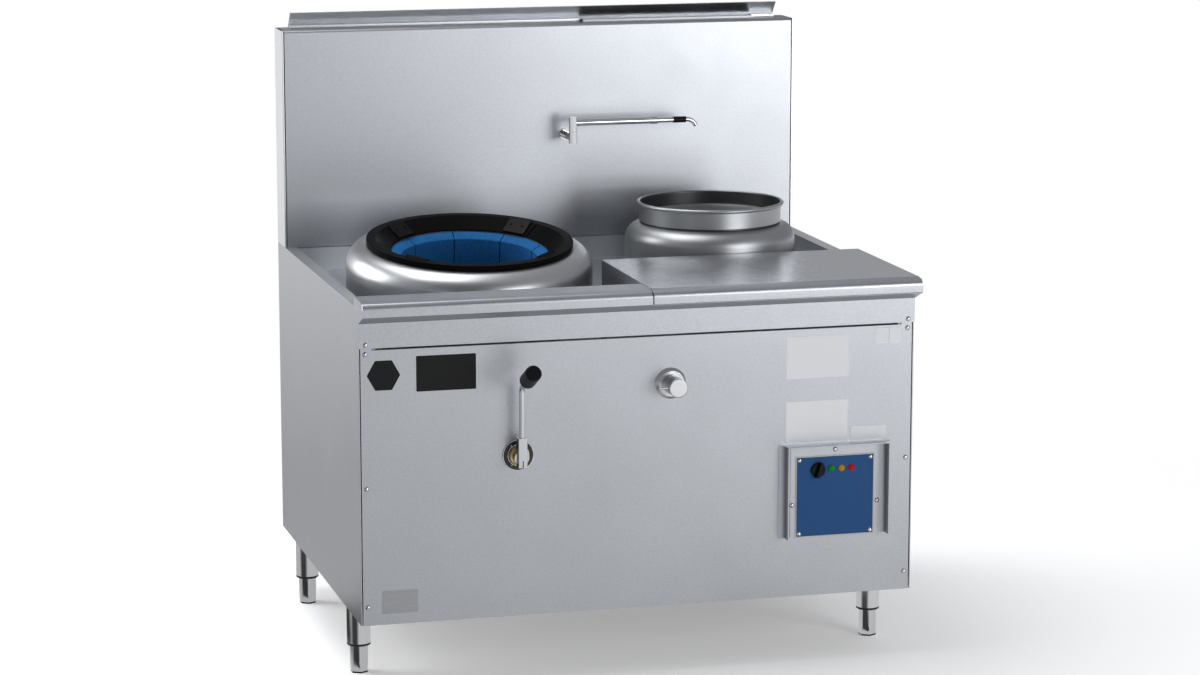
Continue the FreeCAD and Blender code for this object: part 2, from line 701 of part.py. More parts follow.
# ---------------------------------------------------------------- splashback and flue
def splash_front():
    """Front and top of the splashback in one sheet, its front top edge rounded."""
    x = HALF - SPLASH_PLATE_INSET
    radius = SPLASH_EDGE_RADIUS
    inner = radius - SHEET
    top = SPLASH_TOP
    back = DEPTH - SHEET
    front = SPLASH_FRONT
    bottom = WELL_BACK_TOP + SPLASH_GAP
    slant = math.sqrt(0.5)
    centre = (front + radius, top - radius)
    flange = SPLASH_FLANGE
    section = [(front, bottom), (front, top - radius),
               (front + radius, top, centre[0] - radius * slant, centre[1] + radius * slant),
               (back, top), (back, top - flange), (back - SHEET, top - flange), (back - SHEET, top - SHEET),
               (front + radius, top - SHEET),
               (front + SHEET, top - radius, centre[0] - inner * slant, centre[1] + inner * slant),
               (front + SHEET, bottom + SHEET), (front + flange, bottom + SHEET), (front + flange, bottom)]
    plate = prism(section, "X", -x, x)
    slot = block(FLUE_LEFT, FLUE_RIGHT, FLUE_FRONT, FLUE_FRONT + FLUE_DEPTH, top - 2 * SHEET, top + SHEET)
    tap_hole = rod(TAP_STUB_RADIUS, Vector(TAP_X, front - 1, TAP_STUB_Z), BACK, SHEET + 2)
    plate = plate.cut(slot).cut(tap_hole)
    for x0, x1 in ((-HALF, -WELL_HALF), (WELL_HALF, HALF)):
        plate = plate.cut(block(x0, x1, front - 1, DEPTH, bottom - 1, LEDGE_TOP))
    return plate


def splash_side():
    """Left side of the splashback, standing on the ledge."""
    path = [(-HALF + REAR_RETURN, DEPTH - SHEET), (-HALF, DEPTH - SHEET),
            (-HALF, SPLASH_FRONT), (-HALF + SPLASH_SIDE_RETURN, SPLASH_FRONT)]
    side = folded(path, "Z", LEDGE_TOP, SPLASH_TOP)
    x = -HALF + SPLASH_PLATE_INSET
    return side.cut(block(x, 0, DEPTH - REAR_RETURN, DEPTH, SPLASH_TOP - SPLASH_FLANGE, SPLASH_TOP))


def rear_panel():
    """One flat sheet over the whole back."""
    return block(-HALF, HALF, DEPTH - SHEET, DEPTH, LEG_HEIGHT, SPLASH_TOP)


def flue_deflector():
    """Low step and a plate that leans forward over the flue outlet."""
    top = SPLASH_TOP
    path = [(DEFLECTOR_STEP_FRONT, top), (DEFLECTOR_STEP_FRONT, top + DEFLECTOR_STEP_HEIGHT),
            (DEFLECTOR_FOOT, top + DEFLECTOR_STEP_HEIGHT),
            (DEFLECTOR_FOOT - DEFLECTOR_LEAN, top + DEFLECTOR_STEP_HEIGHT + DEFLECTOR_RISE)]
    strip = folded(path, "X", -DEFLECTOR_HALF_LENGTH, DEFLECTOR_HALF_LENGTH, -SHEET)
    rear = block(-DEFLECTOR_HALF_LENGTH, DEFLECTOR_HALF_LENGTH, DEFLECTOR_FOOT - SHEET, DEFLECTOR_FOOT,
                 top, top + DEFLECTOR_STEP_HEIGHT)
    outlet = block(FLUE_LEFT - SHEET, FLUE_RIGHT + SHEET, DEFLECTOR_STEP_FRONT - 1,
                   FLUE_FRONT + FLUE_DEPTH, top - 1, top + DEFLECTOR_STEP_HEIGHT + 1)
    return fused([strip, rear]).cut(outlet)


def flue_duct():
    """Flat duct up through the splashback; its rim stands proud of the top."""
    back = FLUE_FRONT + FLUE_DEPTH
    outer = block(FLUE_LEFT, FLUE_RIGHT, FLUE_FRONT, back, PLENUM_TOP, SPLASH_TOP + FLUE_LIP)
    inner = block(FLUE_LEFT + SHEET, FLUE_RIGHT - SHEET, FLUE_FRONT + SHEET, back - SHEET,
                  PLENUM_TOP - 1, SPLASH_TOP + FLUE_LIP + 1)
    return outer.cut(inner)


def throat(x, y, grow):
    """The space of one throat from a burner's axis back to the plenum."""
    half = THROAT_WIDTH / 2 + grow
    rise = THROAT_HEIGHT / 2 + grow
    return block(x - half, x + half, y, PLENUM_FRONT + 2 * SHEET,
                 THROAT_CENTRE_Z - rise, THROAT_CENTRE_Z + rise)


def flue_plenum():
    """Collecting box under the duct with a throat to each burner chamber."""
    left = WOK_X - PLENUM_END_MARGIN - THROAT_WIDTH / 2
    back = FLUE_FRONT + FLUE_DEPTH
    outer = block(left, FLUE_RIGHT, PLENUM_FRONT, back, PLENUM_BOTTOM, PLENUM_TOP)
    outer = outer.fuse(throat(WOK_X, WOK_Y, SHEET))
    outer = outer.fuse(throat(STEAMER_X, STEAMER_Y, SHEET))
    inner = block(left + SHEET, FLUE_RIGHT - SHEET, PLENUM_FRONT + SHEET, back - SHEET,
                  PLENUM_BOTTOM + SHEET, PLENUM_TOP - SHEET)
    inner = inner.fuse(throat(WOK_X, WOK_Y, 0))
    inner = inner.fuse(throat(STEAMER_X, STEAMER_Y, 0))
    mouth = block(FLUE_LEFT + SHEET, FLUE_RIGHT - SHEET, FLUE_FRONT + SHEET, back - SHEET,
                  PLENUM_TOP - 2 * SHEET, PLENUM_TOP + 1)
    box = outer.cut(inner).cut(mouth)
    box = box.cut(wok_drum(CHAMBER_RADIUS))
    return box.cut(rod(STEAMER_CHAMBER_RADIUS, Vector(STEAMER_X, STEAMER_Y, STEAMER_CHAMBER_BOTTOM),
                       UP, WELL_FLOOR - STEAMER_CHAMBER_BOTTOM))


# ---------------------------------------------------------------- frame and legs
def frame_weldment():
    """Base ring, four posts and two cross members of square tube, with a plate over each leg."""
    low = FRAME_BOTTOM
    high = FRAME_BOTTOM + TUBE
    front = SHEET
    rear = DEPTH - 2 * SHEET
    outer = POST_OUTER
    inner = POST_OUTER - TUBE
    bars = []
    for side in (-1, 1):
        near, far = sorted((side * outer, side * inner))
        bars.append(block(near, far, front, rear, low, high))
        for y in (front, rear - TUBE):
            bars.append(block(near, far, y, y + TUBE, high, POST_TOP))
        bars.append(block(near, far, front + TUBE, rear - TUBE, POST_TOP - TUBE, POST_TOP))
    for y in (front, LEG_FRONT_Y - TUBE / 2, LEG_BACK_Y - TUBE / 2, rear - TUBE):
        bars.append(block(-inner, inner, y, y + TUBE, low, high))
    for x, y in leg_places():
        outward = math.copysign(1, x)
        ends = sorted((x + outward * LEG_TUBE_RADIUS, x - outward * LEG_PLATE_HALF))
        bars.append(block(*ends, y - LEG_PLATE_HALF, y + LEG_PLATE_HALF, low - LEG_PLATE, low))
    frame = fused(bars)
    for x, z in panel_screw_places():
        frame = frame.cut(screw_holes(0, x, z))
    return frame


def panel_screw_places():
    """The screws of the front panel and the fascia, as (x, z)."""
    heights = (FASCIA_SCREW_Z,) + SCREW_HEIGHTS
    return [(side * (HALF - SCREW_SIDE_INSET), z) for side in (-1, 1) for z in heights]


def leg_places():
    """The four leg centres."""
    return [(side * LEG_X, y) for y in (LEG_FRONT_Y, LEG_BACK_Y) for side in (-1, 1)]


def leg_tubes():
    """Four round leg tubes, welded under the frame's plates."""
    tubes = []
    bottom = LEG_RING_BOTTOM + LEG_RING_HEIGHT
    height = FRAME_BOTTOM - LEG_PLATE - bottom
    for x, y in leg_places():
        tube = rod(LEG_TUBE_RADIUS, Vector(x, y, bottom), UP, height)
        tubes.append(tube.cut(rod(LEG_TUBE_RADIUS - LEG_TUBE_WALL, Vector(x, y, bottom - 1), UP, height + 2)))
    return Part.makeCompound(tubes)


def leg_rings():
    """Four dark end rings that guide the feet in the tubes."""
    rings = []
    r = LEG_TUBE_RADIUS
    bore = FOOT_RADIUS + TOUCH_FIT
    h = LEG_RING_HEIGHT
    profile = [(bore, 0), (r - 2, 0), (r, 2), (r, h), (r - LEG_TUBE_WALL, h),
               (r - LEG_TUBE_WALL, h + 10), (bore, h + 10)]
    for x, y in leg_places():
        rings.append(turned(profile, x, y, LEG_RING_BOTTOM))
    return Part.makeCompound(rings)


def foot(x, y):
    """Adjustable foot: round above, its lower part cut to a fading hexagon."""
    c = FOOT_SOLE_CHAMFER
    r = FOOT_RADIUS
    stem = turned([(0, 0), (r - c, 0), (r, c), (r, FOOT_TOP), (0, FOOT_TOP)], 0, 0)
    wires = []
    grow = (2 * FOOT_RADIUS + 2 - FOOT_FLATS_BOTTOM) / FOOT_FLATS_FADE
    for z in (-1, FOOT_TOP + 1):
        corners = polygon(6, FOOT_FLATS_BOTTOM + grow * z, math.pi / 6)
        wire = outline(corners)
        wire.translate(UP * z)
        wires.append(wire)
    shape = stem.common(Part.makeLoft(wires, True, True))
    shape.translate(Vector(x, y, 0))
    return shape


# ---------------------------------------------------------------- wok burner
def wok_drum(radius):
    """The leaning cylinder of the wok chamber."""
    z = -BRICK_TOP_DROP
    return turned([(0, -CHAMBER_DEPTH), (radius, -CHAMBER_DEPTH), (radius, z), (0, z)],
                  WOK_X, WOK_Y, WOK_RIM_Z, WOK_TILT)


def skirt_body(radius, drop):
    """The leaning rim circle pushed straight down to the well floor."""
    rim = Part.makeCircle(radius, Vector(0, 0, -drop), UP)
    face = Part.Face(Part.Wire(rim))
    face.rotate(Vector(0, 0, 0), RIGHT, WOK_TILT)
    face.translate(Vector(WOK_X, WOK_Y, WOK_RIM_Z))
    return face.extrude(UP * -DOME_SKIRT)


def wok_dome():
    """Spun dome: neck, flat seat, round bulge, and a skirt down to the well floor."""
    r = DOME_RADIUS
    b = DOME_BULGE
    t = DOME_SHEET
    top = -WOK_RING_SEAT
    s = math.sqrt(0.5)
    middle = r - b
    crown = [(DOME_NECK_RADIUS, top - DOME_NECK_DROP), (DOME_NECK_RADIUS, top), (middle, top),
             (r, top - b, middle + b * s, top - b + b * s),
             (r - t, top - b),
             (middle, top - t, middle + (b - t) * s, top - b + (b - t) * s),
             (DOME_NECK_RADIUS + t, top - t), (DOME_NECK_RADIUS + t, top - DOME_NECK_DROP)]
    bulge = turned(crown, WOK_X, WOK_Y, WOK_RIM_Z, WOK_TILT)
    skirt = skirt_body(r, -top + b).cut(skirt_body(r - t, -top + b))
    below = block(-HALF, HALF, 0, DEPTH, WELL_FLOOR - 200, WELL_FLOOR)
    return fused([bulge, skirt]).cut(below)


def wok_ring_blank():
    """Cast ring: flat rim, inner cone and a spigot that drops into the dome's neck."""
    r = WOK_RING_RADIUS
    inner = r - WOK_RING_FLAT
    spigot = DOME_NECK_RADIUS - CLEARANCE
    drop = WOK_RING_CONE_DROP
    profile = [(r, 0), (r, -WOK_RING_EDGE + WOK_RING_CHAMFER), (r - WOK_RING_CHAMFER, -WOK_RING_EDGE),
               (spigot, -WOK_RING_EDGE), (spigot, -WOK_RING_EDGE - 2),
               (WOK_RING_THROAT + 8, -drop - WOK_RING_LIP), (WOK_RING_THROAT, -drop - WOK_RING_LIP),
               (WOK_RING_THROAT, -drop), (inner, 0)]
    return turned(profile, 0, 0)


def cone_slope():
    """Angle of the ring's inner cone below the level."""
    run = WOK_RING_RADIUS - WOK_RING_FLAT - WOK_RING_THROAT
    return math.degrees(math.atan2(WOK_RING_CONE_DROP, run))


def on_cone(shape, angle):
    """Move a shape from a lug's own frame onto the ring's cone at an angle from the back."""
    run = WOK_RING_RADIUS - WOK_RING_FLAT - LUG_MIDDLE_RADIUS
    drop = run * math.tan(math.radians(cone_slope()))
    placed = shape.copy()
    placed.rotate(Vector(0, 0, 0), RIGHT, cone_slope())
    placed.translate(Vector(0, LUG_MIDDLE_RADIUS, -drop))
    placed.rotate(Vector(0, 0, 0), UP, -angle)
    return placed


def lug_angles():
    """Angles of the lugs, clockwise from the back."""
    return [LUG_FIRST_ANGLE + i * 360.0 / LUG_COUNT for i in range(LUG_COUNT)]


def lean(shape):
    """Move a shape from the wok's own axis to its leaning place."""
    placed = shape.copy()
    placed.rotate(Vector(0, 0, 0), RIGHT, WOK_TILT)
    placed.translate(Vector(WOK_X, WOK_Y, WOK_RIM_Z))
    return placed


def bolts_in_lug(radius):
    """The two bolts of one lug, in the lug's own frame."""
    shapes = []
    top = LUG_RISE - LUG_BOLT_SINK
    for side in (-1, 1):
        start = Vector(side * LUG_BOLT_PITCH / 2, 0, top - LUG_BOLT_LENGTH)
        shapes.append(rod(radius, start, UP, LUG_BOLT_LENGTH))
    return shapes


def wok_ring():
    """The cast ring with its bolt sockets, and one narrow slit through the cone."""
    ring = wok_ring_blank()
    for angle in lug_angles():
        for bolt in bolts_in_lug(LUG_BOLT_RADIUS):
            ring = ring.cut(on_cone(bolt, angle))
    slit = block(-WOK_RING_SLIT / 2, WOK_RING_SLIT / 2, WOK_RING_THROAT - 5,
                 WOK_RING_RADIUS - WOK_RING_FLAT - 2, -40, 10)
    slit.rotate(Vector(0, 0, 0), UP, -WOK_RING_SLIT_ANGLE)
    return lean(ring.cut(slit))


def ring_lugs():
    """Rest blocks bolted on the ring's cone."""
    ring = wok_ring_blank()
    lugs = []
    for angle in lug_angles():
        lug = block(-LUG_WIDTH / 2, LUG_WIDTH / 2, -LUG_LENGTH / 2, LUG_LENGTH / 2, -4, LUG_RISE)
        for side in (-1, 1):
            hole = Vector(side * LUG_BOLT_PITCH / 2, 0, -5)
            lug = lug.cut(rod(LUG_BOLT_RADIUS, hole, UP, 2 * LUG_RISE + 5))
        placed = on_cone(lug, angle).cut(ring)
        placed = max(placed.Solids, key=lambda solid: solid.Volume)
        lugs.append(lean(placed))
    return Part.makeCompound(lugs)


def lug_bolts():
    """Two bolts in each rest block."""
    bolts = []
    for angle in lug_angles():
        for bolt in bolts_in_lug(LUG_BOLT_RADIUS):
            bolts.append(lean(on_cone(bolt, angle)))
    return Part.makeCompound(bolts)


def brick_top():
    """Height of the bricks' upper faces on the wok's own axis."""
    return -WOK_RING_SEAT - DOME_NECK_DROP - CHAMBER_FLANGE


def brick_bottom():
    """Height of the shelf that carries the bricks."""
    return brick_top() - BRICK_HEIGHT


def wok_chamber():
    """Steel drum hung from the dome's neck, with a shelf that carries the refractory."""
    r = CHAMBER_RADIUS
    t = CHAMBER_WALL
    top = -WOK_RING_SEAT - DOME_NECK_DROP
    low = -CHAMBER_DEPTH
    shelf = brick_bottom()
    profile = [(CHAMBER_BURNER_HOLE, low), (r, low), (r, top - CHAMBER_FLANGE),
               (DOME_NECK_RADIUS + DOME_SHEET, top - CHAMBER_FLANGE), (DOME_NECK_RADIUS + DOME_SHEET, top),
               (WOK_RING_THROAT, top), (WOK_RING_THROAT, top - CHAMBER_FLANGE),
               (r - t, top - CHAMBER_FLANGE), (r - t, shelf), (BRICK_SHELF_RADIUS, shelf),
               (BRICK_SHELF_RADIUS, shelf - BRICK_SHELF), (r - t, shelf - BRICK_SHELF),
               (r - t, low + t), (CHAMBER_BURNER_HOLE, low + t)]
    drum = turned(profile, WOK_X, WOK_Y, WOK_RIM_Z, WOK_TILT)
    return drum.cut(throat(WOK_X, WOK_Y, 0))


def refractory_bricks():
    """Ring of fireclay segments with a bevelled upper edge."""
    top = brick_top()
    low = brick_bottom()
    bevel = WOK_RING_THROAT - BRICK_BEVEL_INSET
    profile = [(BRICK_INNER_RADIUS, low), (BRICK_OUTER_RADIUS, low), (BRICK_OUTER_RADIUS, top),
               (bevel, top), (BRICK_INNER_RADIUS, top - BRICK_BEVEL_DROP)]
    lining = turned(profile, 0, 0)
    for i in range(BRICK_COUNT):
        joint = block(-BRICK_GAP / 2, BRICK_GAP / 2, 0, BRICK_OUTER_RADIUS + 1, low - 1, top + 1)
        joint.rotate(Vector(0, 0, 0), UP, -i * 360.0 / BRICK_COUNT)
        lining = lining.cut(joint)
    return Part.makeCompound(lean(lining).Solids)


def wok_burner():
    """Cast jet burner: domed head with two rings of jets, mixing tube and a three-armed foot."""
    low = -CHAMBER_DEPTH
    r = JET_HEAD_RADIUS
    base = low - JET_HEAD_BELOW
    crown = low + JET_HEAD_ABOVE
    shoulder = low + JET_HEAD_SHOULDER
    head = turned([(0, base), (r, base), (r, shoulder), (r - JET_HEAD_SLOPE, crown), (0, crown)], 0, 0)
    mixer = rod(MIXER_RADIUS, Vector(0, 0, -MIXER_END), UP, MIXER_END - CHAMBER_DEPTH)
    parts = [head, mixer]
    for count, radius in zip(JET_COUNTS, JET_RING_RADII):
        for i in range(count):
            angle = 2 * math.pi * i / count
            place = Vector(radius * math.cos(angle), radius * math.sin(angle), crown - 2)
            parts.append(rod(JET_RADIUS, place, UP, JET_HEIGHT + 2))
    for i in range(SPIDER_ARM_COUNT):
        arm = block(-SPIDER_WIDTH / 2, SPIDER_WIDTH / 2, 0, SPIDER_REACH, low - SPIDER_THICKNESS, low)
        arm.rotate(Vector(0, 0, 0), UP, spider_angle(i))
        parts.append(arm)
    socket = rod(BRANCH_RADIUS, mixer_foot() - UP * BRANCH_SOCKET, UP, 2 * BRANCH_SOCKET)
    return lean(fused(parts)).cut(socket)


def spider_angle(index):
    """Direction of one arm of the burner's foot, from the back."""
    return 60.0 + index * 360.0 / SPIDER_ARM_COUNT


def mixer_foot():
    """Centre of the lower end of the wok burner's mixing tube."""
    tilt = math.radians(WOK_TILT)
    return Vector(WOK_X, WOK_Y + MIXER_END * math.sin(tilt), WOK_RIM_Z - MIXER_END * math.cos(tilt))


def pilot(foot_point, height):
    """A pilot tube with a hooded tip."""
    stem = rod(PILOT_RADIUS, foot_point, UP, height)
    return fused([stem, rod(PILOT_HOOD_RADIUS, foot_point + UP * height, UP, PILOT_HOOD)])


def pilot_burners():
    """One pilot on an arm of the wok burner's foot, and one on the steamer's chamber floor."""
    angle = math.radians(spider_angle(1))
    reach = WOK_PILOT_RADIUS
    foot_point = Vector(-math.sin(angle) * reach, math.cos(angle) * reach, -CHAMBER_DEPTH)
    wok_pilot = lean(pilot(foot_point, WOK_PILOT_HEIGHT))
    foot_point = Vector(STEAMER_X, STEAMER_Y - STEAMER_PILOT_REACH, STEAMER_CHAMBER_BOTTOM + CHAMBER_WALL)
    return Part.makeCompound([wok_pilot, pilot(foot_point, STEAMER_PILOT_HEIGHT)])


# ---------------------------------------------------------------- steamer
def steamer_dome():
    """Spun dome of the steamer: upright skirt, round shoulder, flat seat and neck."""
    r = STEAMER_DOME_RADIUS
    b = STEAMER_BULGE
    t = DOME_SHEET
    top = STEAMER_DOME_TOP
    s = math.sqrt(0.5)
    middle = r - b
    neck = STEAMER_NECK_RADIUS
    profile = [(r, WELL_FLOOR), (r, top - b), (middle, top, middle + b * s, top - b + b * s),
               (neck, top), (neck, top - STEAMER_NECK_DROP), (neck + t, top - STEAMER_NECK_DROP),
               (neck + t, top - t), (middle, top - t),
               (r - t, top - b, middle + (b - t) * s, top - b + (b - t) * s), (r - t, WELL_FLOOR)]
    return turned(profile, STEAMER_X, STEAMER_Y)


def steamer_collar():
    """Lift-off collar: spigot in the neck, step that carries the pan, upright wall and a rolled bead."""
    r = COLLAR_RADIUS
    t = COLLAR_WALL
    seat = STEAMER_DOME_TOP + CLEARANCE
    low = STEAMER_DOME_TOP + COLLAR_BOTTOM_GAP
    bead_z = COLLAR_TOP - COLLAR_BEAD
    step = COLLAR_STEP
    spigot = STEAMER_NECK_RADIUS - CLEARANCE
    foot_z = STEAMER_DOME_TOP - COLLAR_SPIGOT
    profile = [(r, low), (r, bead_z), (r - t, bead_z), (r - t, low + t), (r - step - t, low + t),
               (r - step - t, seat + t), (spigot - t, seat + t), (spigot - t, foot_z), (spigot, foot_z),
               (spigot, seat), (r - step, seat), (r - step, low)]
    wall = turned(profile, STEAMER_X, STEAMER_Y)
    bead = Part.makeTorus(r + COLLAR_BEAD - t, COLLAR_BEAD, Vector(STEAMER_X, STEAMER_Y, bead_z), UP)
    return fused([wall, bead])


def steam_pan():
    """Shallow dished pan that stands on the collar's inner step."""
    r = COLLAR_RADIUS - COLLAR_WALL - PAN_SIDE_CLEARANCE
    t = SHEET
    low = STEAMER_DOME_TOP + COLLAR_BOTTOM_GAP + COLLAR_WALL + CLEARANCE
    rim = PAN_RIM_Z
    k = PAN_SHOULDER
    s = math.sqrt(0.5)
    dish = rim - PAN_DISH_DROP
    centre = dish + PAN_CENTRE_RISE
    profile = [(r, low), (r, rim - k), (r - k, rim, r - k + k * s, rim - k + k * s),
               (PAN_DISH_RADIUS, dish), (PAN_CENTRE_RADIUS, dish), (0, centre), (0, centre - t),
               (PAN_CENTRE_RADIUS, dish - t), (PAN_DISH_RADIUS, dish - t), (r - k, rim - t),
               (r - t, rim - k), (r - t, low)]
    return turned(profile, STEAMER_X, STEAMER_Y)


def steamer_chamber():
    """Steel drum under the steamer's neck."""
    r = STEAMER_CHAMBER_RADIUS
    t = CHAMBER_WALL
    low = STEAMER_CHAMBER_BOTTOM
    top = STEAMER_DOME_TOP - STEAMER_NECK_DROP
    lip = STEAMER_NECK_RADIUS + DOME_SHEET
    hole = STEAMER_FEED_HOLE
    profile = [(hole, low), (r, low), (r, top - t), (lip, top - t), (lip, top), (r - t, top),
               (r - t, low + t), (hole, low + t)]
    drum = turned(profile, STEAMER_X, STEAMER_Y)
    return drum.cut(throat(STEAMER_X, STEAMER_Y, 0))


def steamer_burner():
    """Ring burner on a cross tube, with its feed pipe and three legs on the chamber floor."""
    place = Vector(STEAMER_X, STEAMER_Y, STEAMER_BURNER_Z)
    r = STEAMER_BURNER_RADIUS
    ring = Part.makeTorus(r, STEAMER_BURNER_TUBE, place, UP)
    arm = rod(STEAMER_BURNER_ARM, place - RIGHT * r, RIGHT, 2 * r)
    low = STEAMER_CHAMBER_BOTTOM - STEAMER_BURNER_DROP
    feed = rod(STEAMER_BURNER_FEED, Vector(STEAMER_X, STEAMER_Y, low), UP, STEAMER_BURNER_Z - low)
    parts = [ring, arm, feed]
    floor = STEAMER_CHAMBER_BOTTOM + CHAMBER_WALL
    for i in range(STEAMER_BURNER_LEG_COUNT):
        angle = math.radians(30 + i * 360.0 / STEAMER_BURNER_LEG_COUNT)
        foot_point = Vector(STEAMER_X + r * math.cos(angle), STEAMER_Y + r * math.sin(angle), floor)
        parts.append(rod(STEAMER_BURNER_LEG, foot_point, UP, STEAMER_BURNER_Z - floor))
    return fused(parts)


# ---------------------------------------------------------------- gas valve and lever
def gas_valve():
    """Brass plug valve: a round nose through the panel and a hexagon body behind it."""
    nose = rod(VALVE_RADIUS, Vector(VALVE_X, -VALVE_FRONT, VALVE_Z), BACK, VALVE_FRONT + VALVE_NOSE)
    corners = [(VALVE_X + u, VALVE_Z + v) for u, v in polygon(6, 2 * (VALVE_RADIUS + VALVE_HEX_PROUD))]
    body = prism(corners, "Y", VALVE_NOSE, VALVE_LENGTH)
    bore = rod(SPINDLE_RADIUS + TOUCH_FIT, Vector(VALVE_X, -VALVE_FRONT - 1, VALVE_Z), BACK,
               SPINDLE_LENGTH - BLOCK_FRONT + VALVE_FRONT + 2)
    return fused([nose, body]).cut(bore)


def gas_dial():
    """Flat dial ring on the panel round the valve's nose."""
    t = DIAL_THICKNESS
    bore = VALVE_RADIUS + TOUCH_FIT
    return facing_front([(bore, 0), (DIAL_RADIUS, 0), (DIAL_RADIUS, t - 1), (DIAL_RADIUS - 1, t), (bore, t)],
                        VALVE_X, VALVE_Z)


def valve_spindle():
    """Round spindle from the valve's plug to the front of the clamp block."""
    return rod(SPINDLE_RADIUS, Vector(VALVE_X, -BLOCK_FRONT, VALVE_Z), BACK, SPINDLE_LENGTH)


def lever_block():
    """Clamp block on a round hub, slit below the spindle and bored for the rod above."""
    half = BLOCK_WIDTH / 2
    back = -BLOCK_FRONT + BLOCK_THICKNESS
    body = block(VALVE_X - half, VALVE_X + half, -BLOCK_FRONT, back,
                 VALVE_Z - BLOCK_BELOW, VALVE_Z + BLOCK_ABOVE)
    upright = [edge for edge in body.Edges if abs(edge.tangentAt(edge.FirstParameter).z) > 0.9]
    body = body.makeFillet(BLOCK_EDGE, upright)
    hub_front = back - BLOCK_THICKNESS / 2
    hub = rod(BLOCK_HUB_RADIUS, Vector(VALVE_X, hub_front, VALVE_Z), BACK, -BLOCK_HUB_BACK - hub_front)
    slit = block(VALVE_X - BLOCK_SLIT / 2, VALVE_X + BLOCK_SLIT / 2, -BLOCK_FRONT - 1, 0,
                 VALVE_Z - BLOCK_BELOW - 1, VALVE_Z)
    bore = rod(SPINDLE_RADIUS, Vector(VALVE_X, -BLOCK_FRONT - 1, VALVE_Z), BACK, BLOCK_FRONT)
    socket = rod(ROD_RADIUS, Vector(VALVE_X, ROD_Y, VALVE_Z + BLOCK_ABOVE - ROD_SOCKET), UP, ROD_SOCKET + 1)
    return fused([body, hub]).cut(slit).cut(bore).cut(socket)


def rod_points():
    """Foot, bend and far end of the lever's rod."""
    bend = Vector(VALVE_X, ROD_Y, VALVE_Z + ROD_BEND_Z)
    outward = Vector(0, -math.cos(GRIP_TILT), math.sin(GRIP_TILT))
    foot_point = Vector(VALVE_X, ROD_Y, VALVE_Z + BLOCK_ABOVE - ROD_SOCKET)
    return foot_point, bend, outward


def lever_rod():
    """Bright rod, upright and then bent forward."""
    foot_point, bend, outward = rod_points()
    return swept([foot_point, bend, bend + outward * (GRIP_START + GRIP_SOCKET)], ROD_RADIUS, ROD_BEND_RADIUS)


def lever_grip():
    """Dark cylindrical grip on the end of the rod."""
    foot_point, bend, outward = rod_points()
    start = bend + outward * GRIP_START
    e = GRIP_EDGE
    r = GRIP_RADIUS
    end = GRIP_LENGTH
    grip = turned([(0, 0), (r - e, 0), (r, e), (r, end - e), (r - e, end), (0, end)], 0, 0)
    grip.rotate(Vector(0, 0, 0), RIGHT, 90 - GRIP_RISE_ANGLE)
    grip.translate(start)
    return grip.cut(rod(ROD_RADIUS, start - outward, outward, GRIP_SOCKET + 1))


# ---------------------------------------------------------------- water valve
def valve_flange():
    """Dished cover plate round the stem."""
    bore = STEM_RADIUS + CLEARANCE
    dish = [(bore, 0), (FLANGE_RADIUS, 0), (FLANGE_RADIUS, FLANGE_RIM),
            (FLANGE_FACE_RADIUS, FLANGE_DEPTH), (bore, FLANGE_DEPTH)]
    return facing_front(dish, WATER_X, WATER_Z)


def valve_knob():
    """Plain round knob with its stem, bored for the pin."""
    e = KNOB_EDGE
    r = KNOB_RADIUS
    back = -(STEM_LENGTH - KNOB_BACK)
    knob = facing_front([(0, back), (STEM_RADIUS, back), (STEM_RADIUS, KNOB_BACK), (r - e, KNOB_BACK),
                         (r, KNOB_BACK + e), (r, KNOB_FRONT - e), (r - e, KNOB_FRONT), (0, KNOB_FRONT)],
                        WATER_X, WATER_Z)
    pin_start = Vector(WATER_X - KNOB_RADIUS + PIN_SOCKET, -PIN_Y, WATER_Z)
    return knob.cut(rod(PIN_RADIUS, pin_start, -RIGHT, PIN_SOCKET + 1))


def valve_pin():
    """Cross pin in the side of the knob."""
    length = PIN_REACH - KNOB_RADIUS + PIN_SOCKET
    return rod(PIN_RADIUS, Vector(WATER_X - KNOB_RADIUS + PIN_SOCKET, -PIN_Y, WATER_Z), -RIGHT, length)


def water_valve():
    """Brass valve body behind the panel, bored for the stem, with its outlet below."""
    body = rod(WATER_BODY_RADIUS, Vector(WATER_X, 0, WATER_Z), BACK, WATER_BODY_LENGTH)
    port = rod(WATER_PIPE_RADIUS + WATER_PORT_WALL, Vector(WATER_X, WATER_PORT_Y, WATER_Z), -UP,
               WATER_BODY_RADIUS + WATER_PORT)
    bore = rod(STEM_RADIUS + TOUCH_FIT, Vector(WATER_X, -1, WATER_Z), BACK, STEM_LENGTH - KNOB_BACK + 2)
    return fused([body, port]).cut(bore)


# ---------------------------------------------------------------- control box
def cheek(x):
    """Upright guard cheek with a cove at each side of its root."""
    half = CHEEK_SHEET / 2
    c = CHEEK_COVE
    s = math.sqrt(0.5)
    edge = CHEEK_COVE_EDGE
    right = x + half
    left = x - half
    plan = [(left - c, 0), (left - c, -edge),
            (left, -c - edge, left - c + c * s, -c - edge + c * s),
            (left, -CHEEK_REACH), (right, -CHEEK_REACH), (right, -c - edge),
            (right + c, -edge, right + c - c * s, -c - edge + c * s), (right + c, 0)]
    return prism(plan, "Z", CONTROL_BOTTOM, CONTROL_TOP)


def control_guard():
    """Guard round the controls: two cheeks and a top lip, open below."""
    left = CONTROL_X - CHEEK_HALF_SPAN
    right = CONTROL_X + CHEEK_HALF_SPAN
    lip = block(left - CHEEK_SHEET / 2, right + CHEEK_SHEET / 2, -CHEEK_REACH, 0,
                CONTROL_TOP - CHEEK_SHEET, CONTROL_TOP)
    return fused([cheek(left), cheek(right), lip])


